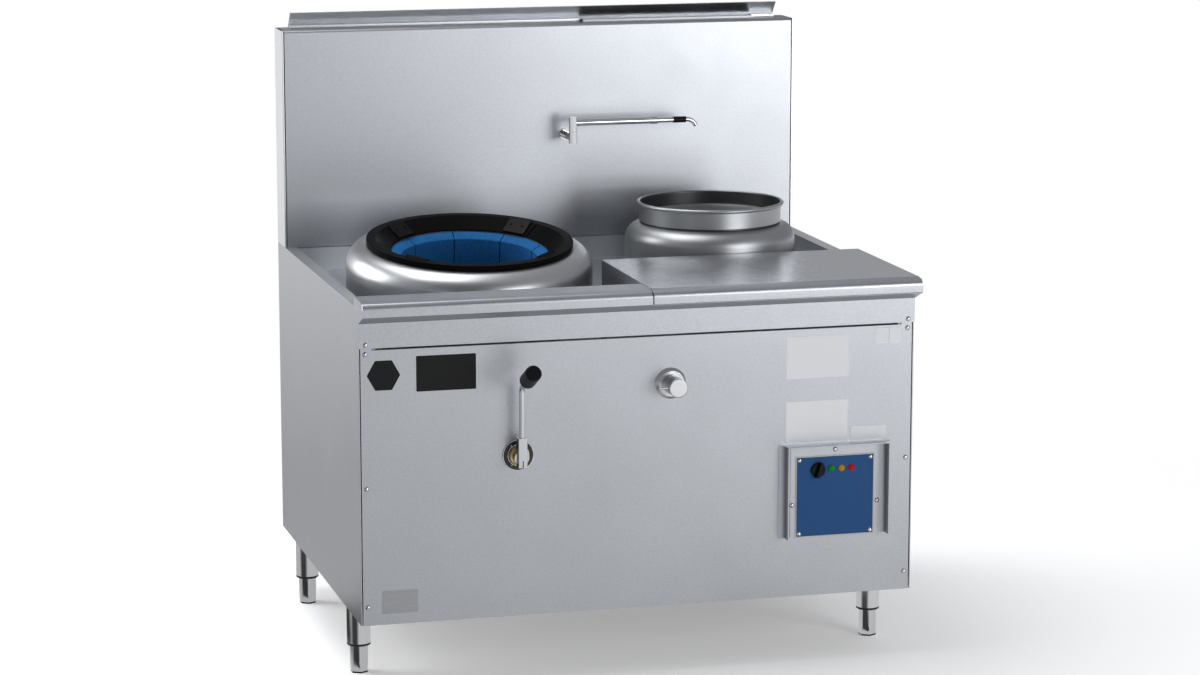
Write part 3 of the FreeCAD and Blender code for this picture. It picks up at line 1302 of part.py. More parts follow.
def plate_screws():
    """Screws at the top and both sides of the grey plate."""
    z = FACE_CENTRE_Z - PLATE_SCREW_DROP
    return [(CONTROL_X, FACE_CENTRE_Z + PLATE_TOP_SCREW),
            (CONTROL_X - PLATE_SCREW_REACH, z),
            (CONTROL_X + PLATE_SCREW_REACH, z)]


def face_screws():
    """Screws in the four corners of the coloured face."""
    reach = FACE_SIZE / 2 - FACE_CORNER_SCREW
    return [(CONTROL_X + u * reach, FACE_CENTRE_Z + v * reach) for u in (-1, 1) for v in (-1, 1)]


def control_holes(y0, y1):
    """Holes for the selector shaft and the three lamps."""
    depth = y1 - y0
    centre = Vector(CONTROL_X + SELECTOR_X, y0, FACE_CENTRE_Z + SELECTOR_Z)
    holes = [rod(SELECTOR_SHAFT + CLEARANCE, centre, BACK, depth)]
    for i in range(LAMP_COUNT):
        holes.append(rod(LAMP_BODY_RADIUS, lamp_place(i, y0), BACK, depth))
    return holes


def lamp_place(index, y):
    """Centre of one pilot lamp."""
    return Vector(CONTROL_X + LAMP_FIRST_X + index * LAMP_PITCH, y, FACE_CENTRE_Z + LAMP_Z)


def control_plate():
    """Grey plate between the cheeks."""
    reach = CHEEK_HALF_SPAN - CHEEK_SHEET / 2 - CHEEK_COVE
    plate = block(CONTROL_X - reach, CONTROL_X + reach, -CONTROL_PLATE, 0,
                  CONTROL_BOTTOM, CONTROL_TOP - CHEEK_SHEET)
    for x, z in plate_screws() + face_screws():
        plate = plate.cut(rod(SCREW_SHANK, Vector(x, -CONTROL_PLATE - 1, z), BACK, CONTROL_PLATE + 2))
    for hole in control_holes(-CONTROL_PLATE - 1, 1):
        plate = plate.cut(hole)
    return plate


def control_face():
    """Square coloured face plate with the selector and the lamps."""
    half = FACE_SIZE / 2
    face = block(CONTROL_X - half, CONTROL_X + half, CONTROL_FACE_Y, -CONTROL_PLATE,
                 FACE_CENTRE_Z - half, FACE_CENTRE_Z + half)
    for x, z in face_screws():
        face = face.cut(rod(SCREW_SHANK, Vector(x, CONTROL_FACE_Y - 1, z), BACK, FACE_THICKNESS + 2))
    for hole in control_holes(CONTROL_FACE_Y - 1, 1):
        face = face.cut(hole)
    return face


def screw(x, y, z):
    """One round-head screw whose head sits on a face at y."""
    r = SCREW_HEAD_RADIUS
    shank = SCREW_SHANK
    shape = turned([(0, -SCREW_LENGTH), (shank, -SCREW_LENGTH), (shank, 0), (r, 0),
                    domed(r, 0, SCREW_HEAD)], 0, 0)
    shape.rotate(Vector(0, 0, 0), RIGHT, 90)
    shape.translate(Vector(x, y, z))
    return shape


def control_screws():
    """All the screws of the control box."""
    screws = [screw(x, -CONTROL_PLATE, z) for x, z in plate_screws()]
    screws += [screw(x, CONTROL_FACE_Y, z) for x, z in face_screws()]
    return Part.makeCompound(screws)


def panel_screws():
    """Screws of the front panel and the fascia."""
    screws = []
    for x, z in panel_screw_places():
        screws.append(screw(x, -FASCIA_PROUD if z == FASCIA_SCREW_Z else 0, z))
    return Part.makeCompound(screws)


def selector_knob():
    """Dark selector: round skirt with a raised pointer bar, and its shaft."""
    r = SELECTOR_RADIUS
    k = SELECTOR_SKIRT
    h = SELECTOR_BAR_HEIGHT
    skirt = turned([(0, 0), (r, 0), (r, k - 1), (r - 1, k), (0, k)], 0, 0)
    half = SELECTOR_BAR_WIDTH / 2
    reach = SELECTOR_BAR_LENGTH / 2
    bar = Part.makeLoft([bar_section(half, reach, k - 2), bar_section(half - 1.5, reach - 2, h)], True, True)
    shaft = rod(SELECTOR_SHAFT, Vector(0, 0, -SELECTOR_SHAFT_LENGTH), UP, SELECTOR_SHAFT_LENGTH + 1)
    knob = fused([skirt, bar, shaft])
    knob.rotate(Vector(0, 0, 0), UP, -SELECTOR_REST_ANGLE)
    knob.rotate(Vector(0, 0, 0), RIGHT, 90)
    knob.translate(Vector(CONTROL_X + SELECTOR_X, CONTROL_FACE_Y - CLEARANCE, FACE_CENTRE_Z + SELECTOR_Z))
    return knob


def bar_section(half, reach, height):
    """One rectangle of the selector's bar."""
    wire = outline([(-half, -reach), (half, -reach), (half, reach), (-half, reach)])
    wire.translate(UP * height)
    return wire


def selector_switch():
    """Rotary switch behind the face, bored for the shaft."""
    x = CONTROL_X + SELECTOR_X
    z = FACE_CENTRE_Z + SELECTOR_Z
    half = SWITCH_SIZE / 2
    body = block(x - half, x + half, 0, SWITCH_DEPTH, z - half, z + half)
    return body.cut(rod(SELECTOR_SHAFT + TOUCH_FIT, Vector(x, -1, z), BACK, SELECTOR_SHAFT_LENGTH))


def pilot_lamps():
    """Three pilot lamps: a domed lens in front and its body through the plates."""
    r = LAMP_RADIUS
    body = LAMP_BODY_RADIUS
    lamps = []
    for i in range(LAMP_COUNT):
        lamp = turned([(0, -LAMP_BODY), (body, -LAMP_BODY), (body, 0), (r, 0), (r, LAMP_RIM),
                       domed(r, LAMP_RIM, LAMP_PROUD)], 0, 0)
        lamp.rotate(Vector(0, 0, 0), RIGHT, 90)
        lamp.translate(lamp_place(i, CONTROL_FACE_Y))
        lamps.append(lamp)
    return Part.makeCompound(lamps)


def control_box():
    """Electrical enclosure behind the front panel, open to the face plate."""
    x0 = CONTROL_X - BOX_HALF_WIDTH
    x1 = CONTROL_X + BOX_HALF_WIDTH
    outer = block(x0, x1, SHEET, SHEET + BOX_DEPTH, BOX_BOTTOM, BOX_TOP)
    inner = block(x0 + SHEET, x1 - SHEET, 0, BOX_DEPTH, BOX_BOTTOM + SHEET, BOX_TOP - SHEET)
    return outer.cut(inner)


# ---------------------------------------------------------------- tap
def tap_inlet():
    """Wall rose, stub and the fixed lower half of the riser, bored for the swivel."""
    wall = SPLASH_FRONT
    y = wall - TAP_STANDOFF
    rose = rod(TAP_ROSE_RADIUS, Vector(TAP_X, wall - TAP_ROSE, TAP_STUB_Z), BACK, TAP_ROSE)
    stub = rod(TAP_STUB_RADIUS, Vector(TAP_X, y, TAP_STUB_Z), BACK, TAP_STANDOFF + TAP_STUB_BEHIND)
    lower = rod(TAP_RISER_RADIUS, Vector(TAP_X, y, TAP_RISER_BOTTOM), UP, TAP_RISER_SPLIT - TAP_RISER_BOTTOM)
    bore = rod(TAP_SPIGOT_RADIUS + TOUCH_FIT, Vector(TAP_X, y, TAP_RISER_SPLIT - TAP_SPIGOT_LENGTH - 1), UP,
               TAP_SPIGOT_LENGTH + 2)
    return fused([rose, stub, lower]).cut(bore)


def tap_riser():
    """Turning upper half of the riser with its spigot."""
    y = SPLASH_FRONT - TAP_STANDOFF
    split = TAP_RISER_SPLIT + CLEARANCE
    upper = rod(TAP_RISER_RADIUS, Vector(TAP_X, y, split), UP, TAP_RISER_TOP - split)
    spigot = rod(TAP_SPIGOT_RADIUS, Vector(TAP_X, y, split - TAP_SPIGOT_LENGTH), UP, TAP_SPIGOT_LENGTH + 1)
    socket = rod(TAP_ARM_RADIUS, Vector(TAP_X, y, TAP_ARM_Z), RIGHT, TAP_RISER_RADIUS + 2)
    return fused([upper, spigot]).cut(socket)


def tap_arm():
    """Arm along the splashback: thick tube, slip collar and thinner tube."""
    start = Vector(TAP_X, SPLASH_FRONT - TAP_STANDOFF, TAP_ARM_Z)
    thick = rod(TAP_ARM_RADIUS, start, RIGHT, TAP_ARM_END)
    collar = rod(TAP_COLLAR_RADIUS, start + RIGHT * TAP_ARM_END, RIGHT, TAP_COLLAR_LENGTH)
    thin_length = TAP_SLEEVE_START + TAP_THIN_SOCKET - TAP_ARM_END
    thin = rod(TAP_THIN_RADIUS, start + RIGHT * TAP_ARM_END, RIGHT, thin_length)
    return fused([thick, collar, thin])


def tap_sleeve():
    """Dark sleeve that joins the nozzle to the arm."""
    start = Vector(TAP_X + TAP_SLEEVE_START, SPLASH_FRONT - TAP_STANDOFF, TAP_ARM_Z)
    sleeve = rod(TAP_SLEEVE_RADIUS, start, RIGHT, TAP_SLEEVE_LENGTH)
    sleeve = sleeve.cut(rod(TAP_THIN_RADIUS, start - RIGHT, RIGHT, TAP_THIN_SOCKET + 1))
    nozzle_start = start + RIGHT * (TAP_SLEEVE_LENGTH - TAP_NOZZLE_SOCKET)
    return sleeve.cut(rod(TAP_NOZZLE_RADIUS, nozzle_start, RIGHT, TAP_NOZZLE_SOCKET + 1))


def tap_nozzle():
    """Short nozzle curving down."""
    start = Vector(TAP_X + TAP_SLEEVE_START + TAP_SLEEVE_LENGTH - TAP_NOZZLE_SOCKET,
                   SPLASH_FRONT - TAP_STANDOFF, TAP_ARM_Z)
    angle = math.radians(TAP_NOZZLE_ANGLE)
    setback = TAP_NOZZLE_BEND * math.tan(angle / 2)
    corner = start + RIGHT * (TAP_NOZZLE_SOCKET + TAP_NOZZLE_STRAIGHT + setback)
    run = setback + TAP_NOZZLE_TIP
    end = corner + Vector(math.cos(angle), 0, -math.sin(angle)) * run
    outer = swept([start, corner, end], TAP_NOZZLE_RADIUS, TAP_NOZZLE_BEND)
    inner = swept([start, corner, end], TAP_NOZZLE_RADIUS - TAP_NOZZLE_WALL, TAP_NOZZLE_BEND)
    return outer.cut(inner)


# ---------------------------------------------------------------- gas pipework
def inlet(radius, bore, x):
    """Threaded supply end under the base, bored from below."""
    start = Vector(x, INLET_Y, INLET_Z)
    body = rod(radius, start, UP, INLET_LENGTH)
    return body, rod(bore, start - UP, UP, INLET_BORE_DEPTH + 1)


def gas_pipework():
    """Inlet, riser and front manifold with the steamer's branch; and the wok burner's feed."""
    body, bore = inlet(INLET_RADIUS, INLET_BORE, INLET_X)
    main = swept([Vector(INLET_X, INLET_Y, INLET_Z + INLET_BORE_DEPTH), Vector(INLET_X, INLET_Y, VALVE_Z),
                  Vector(INLET_X, MANIFOLD_Y, VALVE_Z), Vector(VALVE_X, MANIFOLD_Y, VALVE_Z),
                  Vector(VALVE_X, VALVE_LENGTH, VALVE_Z)], PIPE_RADIUS, PIPE_BEND)
    burner_foot = STEAMER_CHAMBER_BOTTOM - STEAMER_BURNER_DROP
    branch = swept([Vector(STEAMER_X, MANIFOLD_Y, VALVE_Z), Vector(STEAMER_X, STEAMER_Y, VALVE_Z),
                    Vector(STEAMER_X, STEAMER_Y, burner_foot)], BRANCH_RADIUS, PIPE_BEND)
    manifold = fused([main, branch, body]).cut(bore)
    foot_point = mixer_foot()
    body_bottom = VALVE_Z - VALVE_RADIUS - VALVE_HEX_PROUD
    feed = swept([Vector(VALVE_X, FEED_Y, body_bottom), Vector(VALVE_X, FEED_Y, FEED_Z),
                  Vector(foot_point.x, foot_point.y, FEED_Z), foot_point + UP * BRANCH_SOCKET],
                 BRANCH_RADIUS, PIPE_BEND)
    return Part.makeCompound([manifold, feed])


def water_pipes():
    """Supply pipe from the base to the valve, and the delivery pipe up to the tap."""
    body, bore = inlet(WATER_INLET_RADIUS, WATER_INLET_BORE, WATER_INLET_X)
    supply = swept([Vector(WATER_INLET_X, INLET_Y, INLET_Z + INLET_BORE_DEPTH),
                    Vector(WATER_INLET_X, INLET_Y, WATER_Z),
                    Vector(WATER_X, INLET_Y, WATER_Z),
                    Vector(WATER_X, WATER_BODY_LENGTH, WATER_Z)], WATER_PIPE_RADIUS, PIPE_BEND)
    port = WATER_Z - WATER_BODY_RADIUS - WATER_PORT
    stub_end = SPLASH_FRONT + TAP_STUB_BEHIND
    delivery = swept([Vector(WATER_X, WATER_PORT_Y, port), Vector(WATER_X, WATER_PORT_Y, WATER_PIPE_LOW_Z),
                      Vector(TAP_X, WATER_PIPE_REAR_Y, WATER_PIPE_LOW_Z),
                      Vector(TAP_X, WATER_PIPE_REAR_Y, TAP_STUB_Z), Vector(TAP_X, stub_end, TAP_STUB_Z)],
                     WATER_PIPE_RADIUS, PIPE_BEND)
    return Part.makeCompound([fused([supply, body]).cut(bore), delivery])


# ---------------------------------------------------------------- the whole range
def build():
    """All the pieces by name."""
    left_side = side_panel()
    left_splash = splash_side()
    pieces = {
        "side_panel_left": left_side,
        "side_panel_right": mirrored(left_side),
        "front_panel": front_panel(),
        "fascia": fascia(),
        "front_rail": front_rail(),
        "deck_well": deck_well(),
        "shelf_cover": shelf_cover(),
        "splash_front": splash_front(),
        "splash_side_left": left_splash,
        "splash_side_right": mirrored(left_splash),
        "rear_panel": rear_panel(),
        "flue_deflector": flue_deflector(),
        "flue_duct": flue_duct(),
        "flue_plenum": flue_plenum(),
        "frame_weldment": frame_weldment(),
        "leg_tubes": leg_tubes(),
        "leg_rings": leg_rings(),
        "panel_screws": panel_screws(),
        "wok_dome": wok_dome(),
        "wok_chamber": wok_chamber(),
        "refractory_bricks": refractory_bricks(),
        "wok_ring": wok_ring(),
        "ring_lugs": ring_lugs(),
        "lug_bolts": lug_bolts(),
        "wok_burner": wok_burner(),
        "pilot_burners": pilot_burners(),
        "steamer_dome": steamer_dome(),
        "steamer_collar": steamer_collar(),
        "steam_pan": steam_pan(),
        "steamer_chamber": steamer_chamber(),
        "steamer_burner": steamer_burner(),
        "gas_valve": gas_valve(),
        "gas_dial": gas_dial(),
        "valve_spindle": valve_spindle(),
        "lever_block": lever_block(),
        "lever_rod": lever_rod(),
        "lever_grip": lever_grip(),
        "valve_flange": valve_flange(),
        "valve_knob": valve_knob(),
        "valve_pin": valve_pin(),
        "water_valve": water_valve(),
        "control_guard": control_guard(),
        "control_plate": control_plate(),
        "control_face": control_face(),
        "control_screws": control_screws(),
        "selector_knob": selector_knob(),
        "selector_switch": selector_switch(),
        "control_box": control_box(),
        "tap_inlet": tap_inlet(),
        "tap_riser": tap_riser(),
        "tap_arm": tap_arm(),
        "tap_sleeve": tap_sleeve(),
        "tap_nozzle": tap_nozzle(),
        "gas_pipework": gas_pipework(),
        "water_pipes": water_pipes(),
        "pilot_lamps": pilot_lamps(),
    }
    names = ("foot_front_left", "foot_front_right", "foot_rear_left", "foot_rear_right")
    for name, (x, y) in zip(names, leg_places()):
        pieces[name] = foot(x, y)
    return pieces


def main():
    """Write one STEP file for each piece."""
    os.makedirs("parts", exist_ok=True)
    for name, shape in build().items():
        place_origin(shape).exportStep("parts/" + name + ".step")


main()
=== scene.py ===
"""Looks of a two-burner stainless wok range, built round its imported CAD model."""
import logging
import math
from contextlib import contextmanager
from dataclasses import dataclass, field, replace
from enum import Enum
from typing import Callable, Iterator, Sequence

import bpy
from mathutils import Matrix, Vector


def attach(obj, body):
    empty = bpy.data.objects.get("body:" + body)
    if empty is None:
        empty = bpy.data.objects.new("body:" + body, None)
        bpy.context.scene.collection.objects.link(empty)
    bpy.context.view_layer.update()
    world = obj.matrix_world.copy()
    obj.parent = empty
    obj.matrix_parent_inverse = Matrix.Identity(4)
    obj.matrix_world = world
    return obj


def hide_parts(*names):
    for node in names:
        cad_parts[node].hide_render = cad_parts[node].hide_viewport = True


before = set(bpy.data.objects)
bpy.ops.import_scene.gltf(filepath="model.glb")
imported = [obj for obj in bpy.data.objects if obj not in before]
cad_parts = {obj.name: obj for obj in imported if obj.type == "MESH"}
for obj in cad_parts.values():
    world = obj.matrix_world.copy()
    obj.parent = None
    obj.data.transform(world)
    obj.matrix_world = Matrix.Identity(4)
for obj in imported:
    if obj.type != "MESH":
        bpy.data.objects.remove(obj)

log = logging.getLogger("wok_range")

Point = tuple[float, float, float]
Flat = tuple[float, float]
Profile = Sequence[Flat]
Socket = bpy.types.NodeSocket
Piece = bpy.types.Object

MM = 0.001
ORIGIN_SHIFT = -387.6914


class Body(Enum):
    """The bodies that pieces ride on."""

    CABINET = "cabinet"
    WOK_RING = "wok_ring"
    COLLAR = "steamer_collar"
    PAN = "steam_pan"
    SHELF = "shelf_cover"
    LEVER = "gas_lever"
    KNOB = "water_knob"
    SELECTOR = "selector"
    SPOUT = "tap_spout"
    FOOT_FRONT_LEFT = "foot_front_left"
    FOOT_FRONT_RIGHT = "foot_front_right"
    FOOT_REAR_LEFT = "foot_rear_left"
    FOOT_REAR_RIGHT = "foot_rear_right"


class Slot(Enum):
    """The material slots of the record."""

    STAINLESS = "stainless"
    BRIGHT = "stainless_bright"
    FRAME = "frame_steel"
    CAST_IRON = "cast_iron"
    RING = "ring_steel"
    FIRECLAY = "fireclay"
    BRASS = "brass"
    CHROME = "chrome"
    PLASTIC = "black_plastic"
    DIAL = "dial_black"
    FACE = "blue_face"
    LAMP = "lamp"
    ENCLOSURE = "enclosure"
    SCREW = "screw"
    FOOT = "foot"
    RUBBER = "rubber_black"


class Grain(Enum):
    """How the fine marks of a finish run."""

    SPECKLE = "speckle"
    ALONG_X = "along_x"
    ALONG_Z = "along_z"
    TURNED = "turned"


def place(x: float, y: float, z: float) -> Vector:
    """A point of the cabinet in millimetres as a point of the row frame in metres.

    Args:
        x: Millimetres to the right of the middle.
        y: Millimetres behind the face of the front panel.
        z: Millimetres above the floor.

    Returns:
        The point in metres.
    """
    return Vector((x * MM, (y + ORIGIN_SHIFT) * MM, z * MM))


# ---------------------------------------------------------------- finishes
PATCH_SCALE = 5.5
PATCH_DETAIL = 3.0
MARK_STRETCH = 0.04
FINE_SHARE = 0.8
FINE_WANDER = 0.4
NOISE_ROUGHNESS = 0.55
BUMP_STRENGTH = 0.6
COAT_ROUGHNESS = 0.08


class Graph:
    """A small helper that adds and joins the nodes of one tree."""

    def __init__(self, tree: bpy.types.NodeTree) -> None:
        """Empty the tree of a material or a world."""
        self.tree = tree
        self.tree.nodes.clear()

    def add(self, kind: str, **settings: object) -> bpy.types.Node:
        """Add a node and set its properties."""
        node = self.tree.nodes.new(kind)
        for key, value in settings.items():
            setattr(node, key, value)
        return node

    def join(self, source: Socket, target: Socket) -> None:
        """Link one socket to another."""
        self.tree.links.new(source, target)

    def coordinates(self, centre: Vector | None = None, tilt: float = 0.0) -> Socket:
        """Object coordinates, moved to a centre and turned upright.

        Args:
            centre: The point of the row frame that becomes the pattern's origin.
            tilt: Degrees by which the pattern's axis leans to the front.

        Returns:
            The vector socket.
        """
        source = self.add("ShaderNodeTexCoord").outputs["Object"]
        if centre is None:
            return source
        mapping = self.add("ShaderNodeMapping", vector_type="TEXTURE")
        mapping.inputs["Location"].default_value = centre
        mapping.inputs["Rotation"].default_value = (math.radians(tilt), 0.0, 0.0)
        self.join(source, mapping.inputs["Vector"])
        return mapping.outputs["Vector"]

    def noise(self, vector: Socket, scale: float, detail: float = 2.0) -> Socket:
        """Soft noise from a vector."""
        node = self.add("ShaderNodeTexNoise")
        node.inputs["Scale"].default_value = scale
        node.inputs["Detail"].default_value = detail
        node.inputs["Roughness"].default_value = NOISE_ROUGHNESS
        self.join(vector, node.inputs["Vector"])
        return node.outputs["Fac"]

    def vector(self, operation: str, source: Socket, by: Point | None = None) -> bpy.types.Node:
        """One sum on a vector, such as its length or its share along a direction."""
        node = self.add("ShaderNodeVectorMath", operation=operation)
        self.join(source, node.inputs[0])
        if by is not None:
            node.inputs[1].default_value = by
        return node

    def stretched(self, source: Socket, scale: Point) -> Socket:
        """The vector multiplied axis by axis."""
        return self.vector("MULTIPLY", source, scale).outputs["Vector"]

    def length(self, source: Socket) -> Socket:
        """The length of a vector."""
        return self.vector("LENGTH", source).outputs["Value"]

    def split(self, source: Socket) -> bpy.types.NodeOutputs:
        """The X, Y and Z of a vector."""
        node = self.add("ShaderNodeSeparateXYZ")
        self.join(source, node.inputs["Vector"])
        return node.outputs

    def math(self, operation: str, *values: object) -> Socket:
        """One sum on sockets or numbers."""
        node = self.add("ShaderNodeMath", operation=operation)
        for index, value in enumerate(values):
            if isinstance(value, Socket):
                self.join(value, node.inputs[index])
            else:
                node.inputs[index].default_value = value
        return node.outputs[0]

    def highest(self, values: Sequence[Socket]) -> Socket:
        """The highest of several values."""
        top = values[0]
        for value in values[1:]:
            top = self.math("MAXIMUM", top, value)
        return top

    def ranged(self, value: Socket, low: float, high: float, start: float = 0.3, end: float = 0.7) -> Socket:
        """A value spread between two others, from where it starts to where it ends."""
        node = self.add("ShaderNodeMapRange")
        for name, number in (("From Min", start), ("From Max", end), ("To Min", low), ("To Max", high)):
            node.inputs[name].default_value = number
        self.join(value, node.inputs["Value"])
        return node.outputs["Result"]

    def blended(self, factor: Socket, first: object, second: object) -> Socket:
        """A colour between two others; each is a socket or an RGB triple."""
        node = self.add("ShaderNodeMix", data_type="RGBA")
        self.join(factor, node.inputs["Factor"])
        for name, value in (("A", first), ("B", second)):
            socket = next(s for s in node.inputs if s.name == name and s.type == "RGBA")
            if isinstance(value, Socket):
                self.join(value, socket)
            else:
                socket.default_value = (*value, 1.0)
        return next(s for s in node.outputs if s.type == "RGBA")

    def mixed(self, factor: Socket, first: Socket, second: Socket) -> Socket:
        """A surface between two others."""
        node = self.add("ShaderNodeMixShader")
        for index, source in enumerate((factor, first, second)):
            self.join(source, node.inputs[index])
        return node.outputs["Shader"]


class Network(Graph):
    """The nodes of one material with a principled shader."""

    def __init__(self, name: str) -> None:
        """Start a material of this name."""
        self.material = bpy.data.materials.new(name)
        self.material.use_nodes = True
        super().__init__(self.material.node_tree)
        self.out = self.add("ShaderNodeOutputMaterial")
        self.shader = self.add("ShaderNodeBsdfPrincipled")
        self.join(self.shader.outputs["BSDF"], self.out.inputs["Surface"])

    def preset(self, **values: object) -> None:
        """Set inputs of the shader; an underscore stands for a blank."""
        for name, value in values.items():
            self.shader.inputs[name.replace("_", " ")].default_value = value

    def drive(self, name: str, source: Socket) -> None:
        """Join a socket to an input of the shader."""
        self.join(source, self.shader.inputs[name])


def scaled(colour: Point, share: float) -> Point:
    """A colour made darker or lighter, up to white."""
    return tuple(min(1.0, c * share) for c in colour)


@dataclass(frozen=True)
class Finish:
    """A surface with fine grain, broad smudges and a little relief.

    Args:
        name: The finish's own name.
        slot: The record's material slot; not used.
        colour: Linear RGB.
        roughness: The shader's roughness in the middle of its range.
        grain_size: Metres across one mark.
        tone: How much the grain changes the colour, as a share.
        smudge: How much broad patches change the roughness.
        relief: Height of the grain in metres.
        metallic: 1 for bare metal.
        grain: How the fine marks run.
        coat: Weight of a clear gloss over the colour.
        specular: The shader's specular level.
        centre: The axis point of turned marks.
        tilt: Lean of the axis of turned marks, in degrees.
    """

    name: str
    slot: Slot
    colour: Point
    roughness: float
    grain_size: float
    tone: float
    smudge: float = 0.03
    relief: float = 0.00001
    metallic: float = 1.0
    grain: Grain = Grain.SPECKLE
    coat: float = 0.0
    specular: float = 0.5
    centre: Point | None = None
    tilt: float = 0.0

    def material(self) -> bpy.types.Material:
        """The material, made once and then shared."""
        made = bpy.data.materials.get(self.name)
        if made is not None:
            return made
        net = Network(self.name)
        net.preset(Metallic=self.metallic, Specular_IOR_Level=self.specular)
        if self.coat:
            net.preset(Coat_Weight=self.coat, Coat_Roughness=COAT_ROUGHNESS)
        fine = self.fine_marks(net)
        broad = net.noise(net.coordinates(), PATCH_SCALE, PATCH_DETAIL)
        self.paint(net, fine, broad)
        fine_share = self.smudge * FINE_WANDER
        wander = net.math("ADD", net.ranged(broad, -self.smudge, self.smudge),
                          net.ranged(fine, -fine_share, fine_share))
        net.drive("Roughness", net.math("ADD", wander, self.roughness))
        bump = net.add("ShaderNodeBump")
        bump.inputs["Strength"].default_value = BUMP_STRENGTH
        bump.inputs["Distance"].default_value = self.relief
        net.join(fine, bump.inputs["Height"])
        net.drive("Normal", bump.outputs["Normal"])
        return net.material

    def fine_marks(self, net: Network) -> Socket:
        """The fine grain as a value from 0 to 1."""
        if self.grain is Grain.TURNED:
            vector = net.coordinates(Vector(self.centre), self.tilt)
            rings = net.add("ShaderNodeCombineXYZ")
            net.join(net.length(net.stretched(vector, (1.0, 1.0, 0.0))), rings.inputs["X"])
            net.join(net.split(vector)["Z"], rings.inputs["Z"])
            marks = rings.outputs["Vector"]
        else:
            stretch = {Grain.ALONG_X: (MARK_STRETCH, 1.0, 1.0), Grain.ALONG_Z: (1.0, 1.0, MARK_STRETCH),
                       Grain.SPECKLE: (1.0, 1.0, 1.0)}[self.grain]
            marks = net.stretched(net.coordinates(), stretch)
        return net.noise(marks, 1.0 / self.grain_size)

    def paint(self, net: Network, fine: Socket, broad: Socket) -> None:
        """Give the shader its colour from the grain and the patches.

        Args:
            net: The material's network.
            fine: The fine grain.
            broad: The broad patches.
        """
        spread = net.math("ADD", net.math("MULTIPLY", fine, FINE_SHARE),
                          net.math("MULTIPLY", broad, 1 - FINE_SHARE))
        net.drive("Base Color", self.shaded(net, spread))

    def shaded(self, net: Network, value: Socket) -> Socket:
        """The colour from its dark to its light end, by a value."""
        return net.blended(net.ranged(value, 0.0, 1.0), scaled(self.colour, 1 - self.tone),
                           scaled(self.colour, 1 + self.tone))

    def toned(self, net: Network, fine: Socket) -> Socket:
        """The plain colour, darker where the grain is low."""
        return net.blended(net.ranged(fine, 0.0, 1.0), scaled(self.colour, 1 - self.tone), self.colour)


@dataclass(frozen=True)
class DialFinish(Finish):
    """Black enamel with pale rings and plain tick marks round a centre in a plane that faces front."""

    ring_radii: Flat = (0.0222, 0.0323)
    ring_width: float = 0.0012
    tick_inner: float = 0.0222
    tick_outer: float = 0.0272
    tick_angles: Flat = (126.0, 236.0)
    tick_half_width: float = 0.0006
    mark: Point = (0.82, 0.83, 0.84)

    def paint(self, net: Network, fine: Socket, broad: Socket) -> None:
        """Draw the rings and the ticks over the enamel."""
        vector = net.coordinates(Vector(self.centre))
        radius = net.length(net.stretched(vector, (1.0, 0.0, 1.0)))
        off_ring = [net.math("ABSOLUTE", net.math("SUBTRACT", radius, r)) for r in self.ring_radii]
        rings = [net.math("LESS_THAN", off, self.ring_width / 2) for off in off_ring]
        band = net.math("MULTIPLY", net.math("GREATER_THAN", radius, self.tick_inner),
                        net.math("LESS_THAN", radius, self.tick_outer))
        parts = net.split(vector)
        angles = [math.radians(degrees) for degrees in self.tick_angles]
        ticks = net.highest([self.tick(net, parts["X"], parts["Z"], angle) for angle in angles])
        drawn = net.highest([*rings, net.math("MULTIPLY", band, ticks)])
        net.drive("Base Color", net.blended(drawn, self.colour, self.mark))

    def tick(self, net: Network, x: Socket, z: Socket, angle: float) -> Socket:
        """One where a thin half line runs out from the centre, and nothing elsewhere."""
        across = net.math("SUBTRACT", net.math("MULTIPLY", x, math.sin(angle)),
                          net.math("MULTIPLY", z, math.cos(angle)))
        along = net.math("ADD", net.math("MULTIPLY", x, math.cos(angle)),
                         net.math("MULTIPLY", z, math.sin(angle)))
        thin = net.math("LESS_THAN", net.math("ABSOLUTE", across), self.tick_half_width)
        return net.math("MULTIPLY", thin, net.math("GREATER_THAN", along, 0.0))


@dataclass(frozen=True)
class BorderFinish(Finish):
    """A printed plate with a thin pale border, in a plane that faces front."""

    half: float = 0.0878
    border: float = 0.0022
    edge: Point = (0.52, 0.5, 0.46)

    def paint(self, net: Network, fine: Socket, broad: Socket) -> None:
        """Paint the field and its border."""
        parts = net.split(net.coordinates(Vector(self.centre)))
        reach = net.highest([net.math("ABSOLUTE", parts[axis]) for axis in "XZ"])
        outer = net.math("GREATER_THAN", reach, self.half - self.border)
        net.drive("Base Color", net.blended(outer, self.shaded(net, broad), self.edge))


@dataclass(frozen=True)
class TwoToneFinish(Finish):
    """A finish whose lowest part has another colour, such as a foot on its black sole."""

    low_colour: Point = (0.01, 0.01, 0.01)
    change: float = 0.0035
    blur: float = 0.0004

    def paint(self, net: Network, fine: Socket, broad: Socket) -> None:
        """Change the colour at a height."""
        height = net.split(net.coordinates())["Z"]
        above = net.ranged(height, 0.0, 1.0, self.change - self.blur, self.change + self.blur)
        net.drive("Base Color", net.blended(above, self.low_colour, self.toned(net, fine)))


@dataclass(frozen=True)
class InsideShadeFinish(Finish):
    """Steel painted darker inside a radius round its axis, as painted shade inside a deep collar."""

    inside: float = 0.1575
    blur: float = 0.0008
    shade_share: float = 0.22

    def paint(self, net: Network, fine: Socket, broad: Socket) -> None:
        """Paint the outside plain and the inside dark, as painted shade."""
        radius = net.length(net.stretched(net.coordinates(Vector(self.centre)), (1.0, 1.0, 0.0)))
        outside = net.ranged(radius, 0.0, 1.0, self.inside - self.blur, self.inside + self.blur)
        net.drive("Base Color", net.blended(outside, scaled(self.colour, self.shade_share), self.toned(net, fine)))


